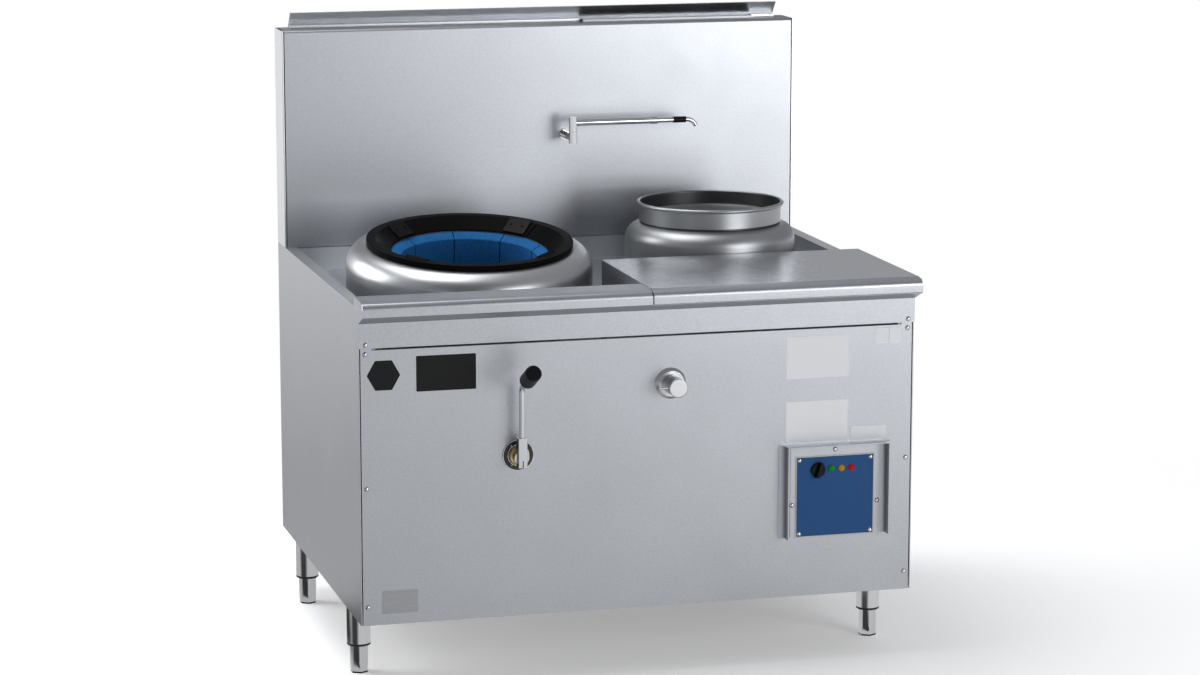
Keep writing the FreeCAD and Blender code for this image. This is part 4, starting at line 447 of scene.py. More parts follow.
DIAL_X = -265.8
DIAL_Z = 491.0
FACE_X = 426.3
FACE_Z = 364.0
WOK_AXIS = place(-265.0, 432.0, 878.4)
WOK_TILT = 6.2
STEAMER_AXIS = place(316.0, 556.0, 876.5)
DIAL_CENTRE = place(DIAL_X, 0.0, DIAL_Z)
FACE_CENTRE = place(FACE_X, 0.0, FACE_Z)
WATER_CENTRE = place(62.8, 0.0, 625.4)

SHEET = Finish("sheet_steel", Slot.STAINLESS, (0.425, 0.44, 0.47), 0.36, 0.0032, 0.09)
# Painted light: a lighter copy of the sheet steel, whose colour stands in for the brighter light on the flue
# deflector.
SHEET_PAINTED_LIGHT = replace(SHEET, name="sheet_steel_painted_light", colour=(0.8, 0.815, 0.84), tone=0.06)
# Painted shade: a darker copy of the sheet steel for the upward faces of the splashback's top fold; it is also a
# little rougher.
SHEET_PAINTED_SHADE = replace(SHEET, name="sheet_steel_painted_shade", colour=(0.27, 0.278, 0.295), roughness=0.42, tone=0.08)
# Partly real, partly painted light: a smoother sheet for the shelf's top, whose lighter colour stands in for the
# bright reflection it shows.
SHEET_TOP_PAINTED_LIGHT = Finish("sheet_steel_top_painted_light", Slot.STAINLESS, (0.6, 0.615, 0.645), 0.27, 0.0026, 0.04)
WELL = replace(SHEET_TOP_PAINTED_LIGHT, name="well_steel", colour=(0.66, 0.675, 0.705), roughness=0.34)
PLATE_METAL = Finish("plate_metal", Slot.STAINLESS, (0.34, 0.35, 0.37), 0.38, 0.001, 0.08, 0.05,
                     grain=Grain.ALONG_X)
LEG_STEEL = Finish("leg_steel", Slot.BRIGHT, (0.66, 0.672, 0.69), 0.12, 0.0012, 0.06, grain=Grain.ALONG_Z)
FOOT = TwoToneFinish("foot_steel", Slot.FOOT, (0.62, 0.632, 0.65), 0.1, 0.0012, 0.08, 0.04,
                     grain=Grain.ALONG_Z)
SPUN_WOK = Finish("spun_steel_wok", Slot.BRIGHT, (0.46, 0.47, 0.485), 0.36, 0.0016, 0.05, grain=Grain.TURNED,
                  centre=tuple(WOK_AXIS), tilt=WOK_TILT)
SPUN_STEAMER = replace(SPUN_WOK, name="spun_steel_steamer", colour=(0.36, 0.37, 0.385), roughness=0.42,
                       centre=tuple(STEAMER_AXIS), tilt=0.0)
# Painted shade: the inside of the collar is painted darker, standing in for its shadow.
SPUN_COLLAR_SHADED_INSIDE = InsideShadeFinish("spun_steel_collar_painted_shade", Slot.BRIGHT, SPUN_STEAMER.colour, SPUN_STEAMER.roughness,
                            0.0014, 0.05, grain=Grain.TURNED, centre=tuple(STEAMER_AXIS))
SPUN_PAN = replace(SPUN_STEAMER, name="spun_steel_pan", colour=(0.4, 0.41, 0.425), roughness=0.4,
                   grain_size=0.0014)
BRIGHT = Finish("bright_steel", Slot.BRIGHT, (0.55, 0.56, 0.58), 0.16, 0.001, 0.06, 0.04, grain=Grain.ALONG_Z)
# Painted reflection: a near-black copy of the bright steel for the clamp block's sides, standing in for the dark
# dial they mirror.
BLOCK_SIDE_PAINTED_REFLECTION = Finish("block_side_painted_reflection", Slot.BRIGHT, (0.03, 0.031, 0.033), 0.3, 0.001, 0.06, 0.04)
SATIN = Finish("satin_steel", Slot.BRIGHT, (0.6, 0.61, 0.63), 0.33, 0.0012, 0.04)
SCREW = Finish("screw_steel", Slot.SCREW, (0.6, 0.61, 0.63), 0.2, 0.001, 0.06, 0.04)
BOLT_BLACK = Finish("bolt_black", Slot.SCREW, (0.006, 0.006, 0.006), 0.5, 0.001, 0.2, 0.05, 0.00003, 0.4)
CHROME = Finish("chrome_plate", Slot.CHROME, (0.62, 0.63, 0.65), 0.07, 0.002, 0.03, 0.02, 0.000005)
FRAME_STEEL = Finish("frame_bar", Slot.FRAME, (0.25, 0.255, 0.265), 0.5, 0.002, 0.1, 0.08, 0.00003,
                     grain=Grain.ALONG_Z)
PIPE_STEEL = Finish("pipe_steel", Slot.FRAME, (0.2, 0.2, 0.21), 0.45, 0.002, 0.15, 0.08, 0.00004, 0.9)
CHAMBER = Finish("chamber_steel", Slot.FRAME, (0.12, 0.115, 0.11), 0.55, 0.004, 0.25, 0.1, 0.00006, 0.9)
CAST = Finish("burner_casting", Slot.CAST_IRON, (0.03, 0.029, 0.028), 0.65, 0.003, 0.3, 0.1, 0.0002, 0.3)
BRASS = Finish("brass", Slot.BRASS, (0.23, 0.19, 0.055), 0.34, 0.0018, 0.12, 0.08, 0.00003)
RING_BLACK = Finish("ring_enamel", Slot.RING, (0.0058, 0.0059, 0.0062), 0.33, 0.003, 0.25, 0.06, 0.00002, 0.0,
                    specular=0.006)
LUG_BLACK = Finish("lug_casting", Slot.RING, (0.0062, 0.0063, 0.0066), 0.4, 0.0022, 0.2, 0.08, 0.00004, 0.0,
                   specular=0.06)
FIRECLAY = Finish("blue_fireclay", Slot.FIRECLAY, (0.013, 0.108, 0.3), 0.88, 0.0034, 0.3, 0.06, 0.00016, 0.0,
                  specular=0.12)
PLASTIC = Finish("black_moulding", Slot.PLASTIC, (0.0035, 0.0035, 0.0037), 0.4, 0.0009, 0.15, 0.05, 0.00003,
                 0.0, specular=0.16)
ENCLOSURE = Finish("enclosure_paint", Slot.ENCLOSURE, (0.42, 0.43, 0.43), 0.5, 0.0015, 0.06, 0.05, 0.00003,
                   0.0)
RUBBER = Finish("rubber", Slot.RUBBER, (0.012, 0.012, 0.012), 0.6, 0.001, 0.2, 0.06, 0.00004, 0.0)
DIAL = DialFinish("dial_enamel", Slot.DIAL, (0.012, 0.012, 0.012), 0.35, 0.001, 0.1, 0.05, 0.00002, 0.0,
                  centre=tuple(DIAL_CENTRE))
FACE = BorderFinish("blue_face_print", Slot.FACE, (0.017, 0.078, 0.225), 0.42, 0.001, 0.04, 0.04, 0.000015,
                    0.0, specular=0.15, centre=tuple(FACE_CENTRE))
LENS_GREEN = Finish("lens_green", Slot.LAMP, (0.004, 0.25, 0.008), 0.35, 0.0012, 0.2, metallic=0.0, coat=0.04,
                    specular=0.08)
LENS_AMBER = replace(LENS_GREEN, name="lens_amber", colour=(0.46, 0.24, 0.004))
LENS_RED = replace(LENS_GREEN, name="lens_red", colour=(0.58, 0.003, 0.006))
PLATE_BLACK = Finish("plate_black", Slot.DIAL, (0.014, 0.0145, 0.015), 0.45, 0.0015, 0.08, 0.05, metallic=0.0,
                     specular=0.1)
PLATE_WHITE = Finish("plate_white", Slot.ENCLOSURE, (0.78, 0.79, 0.81), 0.4, 0.0015, 0.02, 0.05, metallic=0.0)


# ---------------------------------------------------------------- modelling by hand
def deselect() -> None:
    """Clear the selection."""
    bpy.ops.object.select_all(action="DESELECT")


def activate(piece: Piece) -> None:
    """Select one piece alone and make it the active one."""
    deselect()
    piece.select_set(True)
    bpy.context.view_layer.objects.active = piece


@contextmanager
def editing(piece: Piece, mode: str = "FACE", everything: bool = False) -> Iterator[None]:
    """Work on a piece in edit mode.

    Args:
        piece: The piece.
        mode: VERT, EDGE or FACE.
        everything: Whether all of the piece is selected first.
    """
    activate(piece)
    bpy.ops.object.mode_set(mode="EDIT")
    bpy.ops.mesh.select_mode(type=mode)
    if everything:
        bpy.ops.mesh.select_all(action="SELECT")
    yield
    bpy.ops.object.mode_set(mode="OBJECT")


def pick(piece: Piece, mode: str, test: Callable[[bpy.types.Mesh, object], bool]) -> int:
    """Select the elements of a piece that pass a test, by their place or normal.

    Args:
        piece: The piece, in object mode.
        mode: VERT, EDGE or FACE.
        test: Takes the mesh and one element.

    Returns:
        How many were selected.
    """
    mesh = piece.data
    for group in (mesh.vertices, mesh.edges, mesh.polygons):
        for element in group:
            element.select = False
    chosen = {"VERT": mesh.vertices, "EDGE": mesh.edges, "FACE": mesh.polygons}[mode]
    count = 0
    for element in chosen:
        if test(mesh, element):
            element.select = True
            count += 1
    return count


def edge_points(mesh: bpy.types.Mesh, edge: bpy.types.MeshEdge) -> tuple[Vector, Vector]:
    """Both ends of an edge."""
    return mesh.vertices[edge.vertices[0]].co, mesh.vertices[edge.vertices[1]].co


def settle(piece: Piece) -> None:
    """Apply the piece's place, turn and size to its mesh."""
    activate(piece)
    bpy.ops.object.transform_apply(location=True, rotation=True, scale=True)


def lean_onto(piece: Piece, origin: Vector, tilt: float = 0.0) -> None:
    """Move a piece made round the origin onto an axis that leans to the front."""
    piece.rotation_euler = (math.radians(tilt), 0.0, 0.0)
    piece.location = origin
    settle(piece)


def face_front(piece: Piece, origin: Vector) -> None:
    """Turn a piece made round +Z so that it looks out of the front, and move it to a point."""
    piece.rotation_euler = (math.radians(90.0), 0.0, 0.0)
    piece.location = origin
    settle(piece)


def modified(piece: Piece, kind: str, **settings: object) -> None:
    """Put a modifier on a piece and apply it.

    Args:
        piece: The piece.
        kind: The modifier's type.
        settings: Its properties.
    """
    activate(piece)
    modifier = piece.modifiers.new(kind.lower(), kind)
    for key, value in settings.items():
        setattr(modifier, key, value)
    bpy.ops.object.modifier_apply(modifier=modifier.name)


def shade(piece: Piece, degrees: float) -> None:
    """Smooth the piece's curves, keep its corners and leave its flats flat."""
    activate(piece)
    bpy.ops.object.shade_smooth_by_angle(angle=math.radians(degrees))
    modified(piece, "WEIGHTED_NORMAL", mode="FACE_AREA", weight=100, keep_sharp=True)


def ease_edges(piece: Piece, width: float, segments: int = 2, degrees: float = 40.0) -> None:
    """Round all sharp edges with a bevel.

    Args:
        piece: The piece.
        width: Metres.
        segments: Facets across the rounding.
        degrees: The angle from which an edge counts as sharp.
    """
    modified(piece, "BEVEL", width=width, segments=segments, limit_method="ANGLE",
             angle_limit=math.radians(degrees), use_clamp_overlap=True, harden_normals=False)


def face_outward(piece: Piece) -> None:
    """Turn all normals outward."""
    with editing(piece, everything=True):
        bpy.ops.mesh.normals_make_consistent(inside=False)


def box_piece(name: str, low: Vector, high: Vector) -> Piece:
    """A box between two corners, as a start."""
    deselect()
    bpy.ops.mesh.primitive_cube_add(size=1.0, location=(low + high) / 2)
    piece = bpy.context.view_layer.objects.active
    piece.name = name
    piece.scale = high - low
    settle(piece)
    return piece


def drawn_path(name: str, path: Sequence[Vector]) -> Piece:
    """A line drawn by extruding one point from place to place.

    Args:
        name: The piece's name.
        path: Its points in metres, in order.

    Returns:
        The piece, with edges alone.
    """
    deselect()
    bpy.ops.mesh.primitive_plane_add(size=0.01, location=(0.0, 0.0, 0.0))
    piece = bpy.context.view_layer.objects.active
    piece.name = name
    with editing(piece, "VERT", everything=True):
        bpy.ops.mesh.merge(type="CENTER")
        bpy.ops.transform.translate(value=path[0])
        for last, point in zip(path, path[1:]):
            bpy.ops.mesh.extrude_region_move(TRANSFORM_OT_translate={"value": point - last})
        bpy.ops.mesh.select_all(action="SELECT")
        bpy.ops.mesh.remove_doubles(threshold=1e-6)
    return piece


def turned_piece(name: str, profile: Profile, steps: int = 96, eased: float = 0.0, closed: bool = True,
                 segments: int = 3) -> Piece:
    """Draw an (r, z) profile from one point, round its corners and spin it about Z.

    Args:
        name: The piece's name.
        profile: Millimetres from the axis and along it, in order.
        steps: Facets round the axis.
        eased: Millimetres of rounding at the corners.
        closed: Whether the last point joins the first.
        segments: Facets of each rounded corner.

    Returns:
        The piece, round the origin.
    """
    points = [Vector((r * MM, 0.0, z * MM)) for r, z in profile]
    piece = drawn_path(name, points + [points[0]] if closed else points)
    if eased:
        pick(piece, "VERT", lambda mesh, v: v.co.x > 1e-5)
        with editing(piece, "VERT"):
            bpy.ops.mesh.bevel(offset=eased * MM, segments=segments, affect="VERTICES", clamp_overlap=True)
    with editing(piece, "VERT", everything=True):
        bpy.ops.mesh.spin(steps=steps, angle=2 * math.pi, center=(0.0, 0.0, 0.0), axis=(0.0, 0.0, 1.0),
                          use_auto_merge=True)
        bpy.ops.mesh.select_all(action="SELECT")
        bpy.ops.mesh.remove_doubles(threshold=2e-6)
        bpy.ops.mesh.normals_make_consistent(inside=False)
    return piece


def arc(centre: Flat, radius: float, start: float, end: float, steps: int = 8) -> list[Flat]:
    """Points of an arc in a profile, from one angle to another in degrees."""
    angles = [math.radians(start + (end - start) * i / steps) for i in range(steps + 1)]
    return [(centre[0] + radius * math.cos(a), centre[1] + radius * math.sin(a)) for a in angles]


def copy_of(piece: Piece, name: str) -> Piece:
    """A copy with its own mesh."""
    twin = piece.copy()
    twin.data = piece.data.copy()
    twin.name = name
    bpy.context.scene.collection.objects.link(twin)
    return twin


def joined(pieces: Sequence[Piece], name: str) -> Piece:
    """Several pieces made one object."""
    deselect()
    for piece in pieces:
        piece.select_set(True)
    bpy.context.view_layer.objects.active = pieces[0]
    if len(pieces) > 1:
        bpy.ops.object.join()
    pieces[0].name = name
    return pieces[0]


def hollowed(piece: Piece, cutter: Piece) -> None:
    """Take one piece's space out of another and throw the cutter away."""
    modified(piece, "BOOLEAN", operation="DIFFERENCE", solver="EXACT", object=cutter)
    bpy.data.objects.remove(cutter)


def pressed_copy(node: str, name: str, eased: float = 0.0, sharp: float = 40.0,
                 flatten: bool = True) -> Piece:
    """A piece taken over from its CAD node, welded together and with eased edges.

    Args:
        node: The CAD node.
        name: The piece's name.
        eased: Metres of rounding on the sharp edges; 0 keeps them.
        sharp: Degrees from which an edge is rounded.
        flatten: Whether flat areas lose their inner edges first.

    Returns:
        The piece.
    """
    piece = copy_of(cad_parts[node], name)
    piece.parent = None
    for key in list(piece.keys()):
        del piece[key]
    piece.data.materials.clear()
    with editing(piece, "VERT", everything=True):
        bpy.ops.mesh.remove_doubles(threshold=1e-5)
        if flatten:
            bpy.ops.mesh.dissolve_limited(angle_limit=math.radians(0.6))
    if eased:
        ease_edges(piece, eased, degrees=sharp)
    return piece


def select_rims() -> None:
    """Select the open rims of the piece that is edited."""
    bpy.ops.mesh.select_all(action="DESELECT")
    bpy.ops.mesh.select_non_manifold(extend=False, use_wire=False, use_boundary=True, use_multi_face=False,
                                     use_non_contiguous=False, use_verts=False)


@dataclass
class SubAssembly:
    """A group of pieces that are built and then dressed.

    Args:
        title: How the log names it.
    """

    title: str = "sub-assembly"

    def build(self) -> None:
        """Build the meshes."""

    def dress(self) -> None:
        """Give the CAD nodes that still show their finish."""

    def add(self, piece: Piece, body: Body, finish: Finish, *nodes: str,
            angle: float = 50.0) -> Piece:
        """Finish a new piece: smooth it, paint it, ride it and hide the CAD nodes that it replaces.

        Args:
            piece: The piece, in place.
            body: The body that carries it.
            finish: Its finish.
            nodes: The CAD nodes that it stands for.
            angle: Degrees from which its edges stay sharp.

        Returns:
            The piece.
        """
        shade(piece, angle)
        piece.data.materials.clear()
        piece.data.materials.append(finish.material())
        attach(piece, body.value)
        if nodes:
            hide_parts(*nodes)
        log.info("%s: %s rides on %s", self.title, piece.name, body.value)
        return piece

    def take(self, node: str, name: str, body: Body, finish: Finish, eased: float = 0.0, sharp: float = 40.0,
             flatten: bool = True, angle: float = 50.0) -> Piece:
        """Take a CAD node over as a piece of its own and finish it.

        Args:
            node: The CAD node.
            name: The piece's name.
            body: The body that carries it.
            finish: Its finish.
            eased: Metres of rounding on its sharp edges.
            sharp: Degrees from which an edge is rounded.
            flatten: Whether flat areas lose their inner edges first.
            angle: Degrees from which its edges stay sharp in the light.

        Returns:
            The piece.
        """
        return self.add(pressed_copy(node, name, eased, sharp, flatten), body, finish, node, angle=angle)

    def second_finish(self, piece: Piece, finish: Finish,
                      test: Callable[[bpy.types.MeshPolygon], bool]) -> None:
        """Give the faces that pass a test another finish.

        Args:
            piece: The piece, already finished.
            finish: The other finish.
            test: Takes one face.
        """
        piece.data.materials.append(finish.material())
        for face in piece.data.polygons:
            if test(face):
                face.material_index = 1

    def paint(self, finish: Finish, *nodes: str) -> None:
        """Give CAD nodes a finish.

        Args:
            finish: The finish.
            nodes: The nodes.
        """
        for node in nodes:
            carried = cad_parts[node]
            if not carried.material_slots:
                carried.data.materials.append(None)
            for held in carried.material_slots:
                held.material = finish.material()
            log.info("%s: %s finished as %s", self.title, node, finish.name)


# ---------------------------------------------------------------- cabinet
@dataclass
class Cabinet(SubAssembly):
    """Folded sheet panels, front rail, well and the lift-off shelf cover."""

    title: str = "cabinet"
    fold: float = 0.0007
    nose_fold: float = 0.0035
    nose_face: float = -52.0
    nose_start: float = -44.0
    nose_high: float = 829.0
    nose_low: float = 821.0
    flat_front: float = -24.5
    seam_left: float = 9.7
    seam_width: float = 1.6
    seam_thick: float = 0.0004
    seam_path: Profile = ((30.0, 831.2), (-24.0, 831.2), (-45.6, 828.3), (-51.2, 820.8), (-51.2, 802.6))

    def build(self) -> None:
        """Take the sheets over with eased folds and a rounded nose."""
        for node in ("side_panel_left", "side_panel_right", "front_panel", "fascia"):
            self.take(node, node + "_sheet", Body.CABINET, SHEET, self.fold)
        self.take("deck_well", "deck_well_tray", Body.CABINET, WELL, self.fold)
        self.nosed("front_rail", Body.CABINET, SHEET)
        shelf = self.nosed("shelf_cover", Body.SHELF, SHEET_TOP_PAINTED_LIGHT)
        front = place(0.0, self.flat_front, 0.0).y
        # The shelf's flat top keeps the lighter copy, a partly painted reflection; its nose and underside take
        # the plain sheet.
        self.second_finish(shelf, SHEET, lambda face: face.normal.z < 0.99 or face.center.y < front)
        # Painted shadow: a black strip in the gap stands in for the shade inside the joint.
        self.add(self.seam_shadow_strip(), Body.CABINET, RUBBER)

    def nosed(self, node: str, body: Body, finish: Finish) -> Piece:
        """A sheet with a rounded nose along its front.

        Args:
            node: The CAD node.
            body: The body that carries it.
            finish: Its finish.

        Returns:
            The piece.
        """
        piece = pressed_copy(node, node + "_sheet")
        self.round_nose(piece)
        ease_edges(piece, self.fold, degrees=50.0)
        return self.add(piece, body, finish, node)

    def round_nose(self, piece: Piece) -> None:
        """Round the long outer folds where the top turns down into the face.

        Args:
            piece: The rail or the shelf.
        """
        face = place(0.0, self.nose_face, 0.0).y
        back = place(0.0, self.nose_start, 0.0).y

        def on_nose(mesh: bpy.types.Mesh, edge: bpy.types.MeshEdge) -> bool:
            """Whether an edge runs along X at the outer corners of the nose."""
            a, b = edge_points(mesh, edge)
            lengthwise = abs(a.x - b.x) > 0.3 and abs(a.y - b.y) < 1e-5 and abs(a.z - b.z) < 1e-5
            upper = abs(a.z - self.nose_high * MM) < 2e-4 and a.y < back
            lower = abs(a.z - self.nose_low * MM) < 2e-4 and abs(a.y - face) < 2e-4
            return lengthwise and (upper or lower)

        if pick(piece, "EDGE", on_nose):
            with editing(piece, "EDGE"):
                bpy.ops.mesh.bevel(offset=self.nose_fold, segments=4, affect="EDGES", clamp_overlap=True)

    def seam_shadow_strip(self) -> Piece:
        """A dark strip sunk into the joint between the rail and the shelf's nose, as painted shadow in the gap.
        """
        strip = drawn_path("rail_joint_shadow_strip", [place(self.seam_left, y, z) for y, z in self.seam_path])
        across = Vector((self.seam_width * MM, 0.0, 0.0))
        with editing(strip, "VERT", everything=True):
            bpy.ops.mesh.extrude_region_move(TRANSFORM_OT_translate={"value": across})
        modified(strip, "SOLIDIFY", thickness=self.seam_thick, offset=0.0)
        face_outward(strip)
        return strip

    def dress(self) -> None:
        """Finish the frame."""
        self.paint(FRAME_STEEL, "frame_weldment")


@dataclass
class Splashback(SubAssembly):
    """Upright sheets behind the burners with the flue outlet on top."""

    title: str = "splashback"
    fold: float = 0.0006
    fold_above: float = 1.0
    finishes: dict[str, Finish] = field(default_factory=lambda: {
        "splash_front": SHEET, "splash_side_left": WELL, "splash_side_right": WELL, "rear_panel": SHEET,
        "flue_deflector": SHEET_PAINTED_LIGHT, "flue_duct": SHEET})

    def build(self) -> None:
        """Take the sheets over with eased folds; the splashback's folded top, which looks up, gets a darker,
        rougher copy of the steel as painted shade.
        """
        for node, finish in self.finishes.items():
            piece = self.take(node, node + "_sheet", Body.CABINET, finish, self.fold)
            if node == "splash_front":
                # Painted shade on the upward faces of the top fold.
                self.second_finish(piece, SHEET_PAINTED_SHADE, lambda face: face.normal.z > 0.6
                                   and face.center.z > self.fold_above)

    def dress(self) -> None:
        """Finish the hidden flue box."""
        self.paint(CHAMBER, "flue_plenum")


@dataclass
class Undercarriage(SubAssembly):
    """Round leg tubes with dark end rings and bright adjustable feet."""

    title: str = "undercarriage"
    places: tuple[tuple[str, float, float], ...] = (
        ("front_left", -570.0, 183.0), ("front_right", 570.0, 183.0),
        ("rear_left", -570.0, 778.0), ("rear_right", 570.0, 778.0))
    tube_radius: float = 25.5
    tube_wall: float = 2.0
    tube_top: float = 160.0
    ring_bottom: float = 59.6
    ring_height: float = 5.4
    ring_top: float = 13.5
    ring_chamfer: float = 2.0
    foot_radius: float = 19.3
    foot_gap: float = 0.05
    foot_top: float = 100.0
    flats: float = 33.0
    flats_fade: float = 52.0

    def build(self) -> None:
        """Turn one leg, one ring and one foot, and copy them to the other corners."""
        r = self.tube_radius
        inner = r - self.tube_wall
        z = self.ring_bottom
        low = z + self.ring_height
        bore = self.foot_radius + self.foot_gap
        top = self.tube_top
        tube = turned_piece("leg_tube", [(inner, low), (r, low), (r, top), (inner, top)], 64, 0.4)
        ring = turned_piece("leg_ring", [
            (bore, z), (r - self.ring_chamfer, z), (r, z + self.ring_chamfer), (r, low), (inner, low),
            (inner, z + self.ring_top), (bore, z + self.ring_top)], 64, 0.25)
        sets = ((tube, [], "leg_tubes", LEG_STEEL), (ring, [], "leg_rings", RUBBER))
        for name, x, y in self.places:
            for start, found, _, _ in sets:
                twin = copy_of(start, start.name + "_" + name)
                lean_onto(twin, place(x, y, 0.0))
                found.append(twin)
            foot = self.foot("foot_" + name + "_turned")
            lean_onto(foot, place(x, y, 0.0))
            self.add(foot, Body("foot_" + name), FOOT, "foot_" + name, angle=20.0)
        for start, found, node, finish in sets:
            bpy.data.objects.remove(start)
            self.add(joined(found, node + "_turned"), Body.CABINET, finish, node)

    def foot(self, name: str) -> Piece:
        """One foot: a turned stem whose lower part is cut to a fading hexagon."""
        r = self.foot_radius
        top = self.foot_top
        foot = turned_piece(name, [(0, 0), (r, 0), (r, top), (0, top)], 72, 0.9, closed=False)
        slope = math.atan((2 * r + 2 - self.flats) / 2 / self.flats_fade)
        for i in range(6):
            turn = math.radians(60.0 * i)
            outward = Vector((math.cos(turn), math.sin(turn), 0.0))
            normal = outward * math.cos(slope) - Vector((0.0, 0.0, math.sin(slope)))
            with editing(foot, everything=True):
                bpy.ops.mesh.bisect(plane_co=outward * (self.flats / 2 * MM), plane_no=normal, use_fill=True,
                                    clear_outer=True, clear_inner=False)
        return foot


# ---------------------------------------------------------------- wok burner
@dataclass
class WokBurner(SubAssembly):
    """Leaning spun dome, black ring with rest blocks, and the blue refractory below."""

    title: str = "wok burner"
    dome_radius: float = 267.8
    bulge: float = 43.7
    sheet: float = 2.0
    neck: float = 203.6
    neck_drop: float = 14.0
    seat: float = 13.0
    ring_radius: float = 224.3
    ring_edge: float = 12.7
    ring_flat: float = 20.8
    throat: float = 169.9
    cone_drop: float = 24.0
    lip: float = 2.4
    chamfer: float = 3.5
    fit: float = 0.3
    slit_half: float = 0.002
    slit_turn: float = -60.0
    floor: float = 758.0
    skirt_reach: float = 0.16

    def build(self) -> None:
        """Spin the dome and the ring, and take over the blocks and the bricks."""
        self.add(self.dome(), Body.CABINET, SPUN_WOK, "wok_dome", angle=40.0)
        self.add(self.ring(), Body.WOK_RING, RING_BLACK, "wok_ring", angle=28.0)
        self.take("ring_lugs", "ring_lug_blocks", Body.WOK_RING, LUG_BLACK, 0.0008, 30.0, angle=28.0)
        self.take("lug_bolts", "lug_bolt_heads", Body.WOK_RING, BOLT_BLACK, 0.0004, flatten=False)
        self.take("refractory_bricks", "refractory_segments", Body.CABINET, FIRECLAY, 0.0014, 30.0,
                  angle=28.0)
        self.take("wok_burner", "wok_jet_burner", Body.CABINET, CAST, 0.0012, flatten=False)

    def dome(self) -> Piece:
        """The spun dome, whose skirt goes straight down to the well floor."""
        r = self.dome_radius
        b = self.bulge
        t = self.sheet
        top = -self.seat
        outer = arc((r - b, top - b), b, 90.0, 0.0, 12)
        inner = arc((r - b, top - b), b - t, 0.0, 90.0, 12)
        neck = [(self.neck + t, top - t), (self.neck + t, top - self.neck_drop)]
        profile = [(self.neck, top - self.neck_drop), (self.neck, top), *outer, *inner, *neck]
        piece = turned_piece("wok_dome_spun", profile, 144)
        pick(piece, "FACE", lambda mesh, f: f.normal.z < -0.9 and abs(f.center.z - (top - b) * MM) < 0.0002
             and Vector(f.center[:2]).length > (r - t - 0.5) * MM)
        with editing(piece):
            bpy.ops.mesh.delete(type="FACE")
        lean_onto(piece, WOK_AXIS, WOK_TILT)
        self.drop_skirt(piece)
        return piece

    def drop_skirt(self, piece: Piece) -> None:
        """Draw the open lower rims straight down and cut them level with the well floor.

        Args:
            piece: The leaning dome, open below.
        """
        with editing(piece, "EDGE"):
            select_rims()
            bpy.ops.mesh.extrude_region_move(TRANSFORM_OT_translate={"value": (0.0, 0.0, -self.skirt_reach)})
            bpy.ops.mesh.select_all(action="SELECT")
            bpy.ops.mesh.bisect(plane_co=(0.0, 0.0, self.floor * MM), plane_no=(0.0, 0.0, 1.0),
                                clear_inner=True, clear_outer=False, use_fill=False)
            select_rims()
            bpy.ops.mesh.bridge_edge_loops()
        face_outward(piece)

    def ring(self) -> Piece:
        """The black ring with its flat rim, inner cone and one slit."""
        r = self.ring_radius
        edge = -self.ring_edge
        inner = r - self.ring_flat
        spigot = self.neck - self.fit
        cone = -self.cone_drop
        profile = [(r, 0), (r, edge + self.chamfer), (r - self.chamfer, edge), (spigot, edge),
                   (spigot, edge - 2), (self.throat + 8, cone - self.lip), (self.throat, cone - self.lip),
                   (self.throat, cone), (inner, 0)]
        piece = turned_piece("wok_ring_turned", profile, 144, 0.9)
        slit = box_piece("slit_cutter", Vector((-self.slit_half, (self.throat - 5) * MM, -0.04)),
                         Vector((self.slit_half, (inner - 2) * MM, 0.01)))
        slit.rotation_euler = (0.0, 0.0, math.radians(self.slit_turn))
        settle(slit)
        hollowed(piece, slit)
        lean_onto(piece, WOK_AXIS, WOK_TILT)
        return piece

    def dress(self) -> None:
        """Finish the chamber and the pilots."""
        self.paint(CHAMBER, "wok_chamber")
        self.paint(BRIGHT, "pilot_burners")


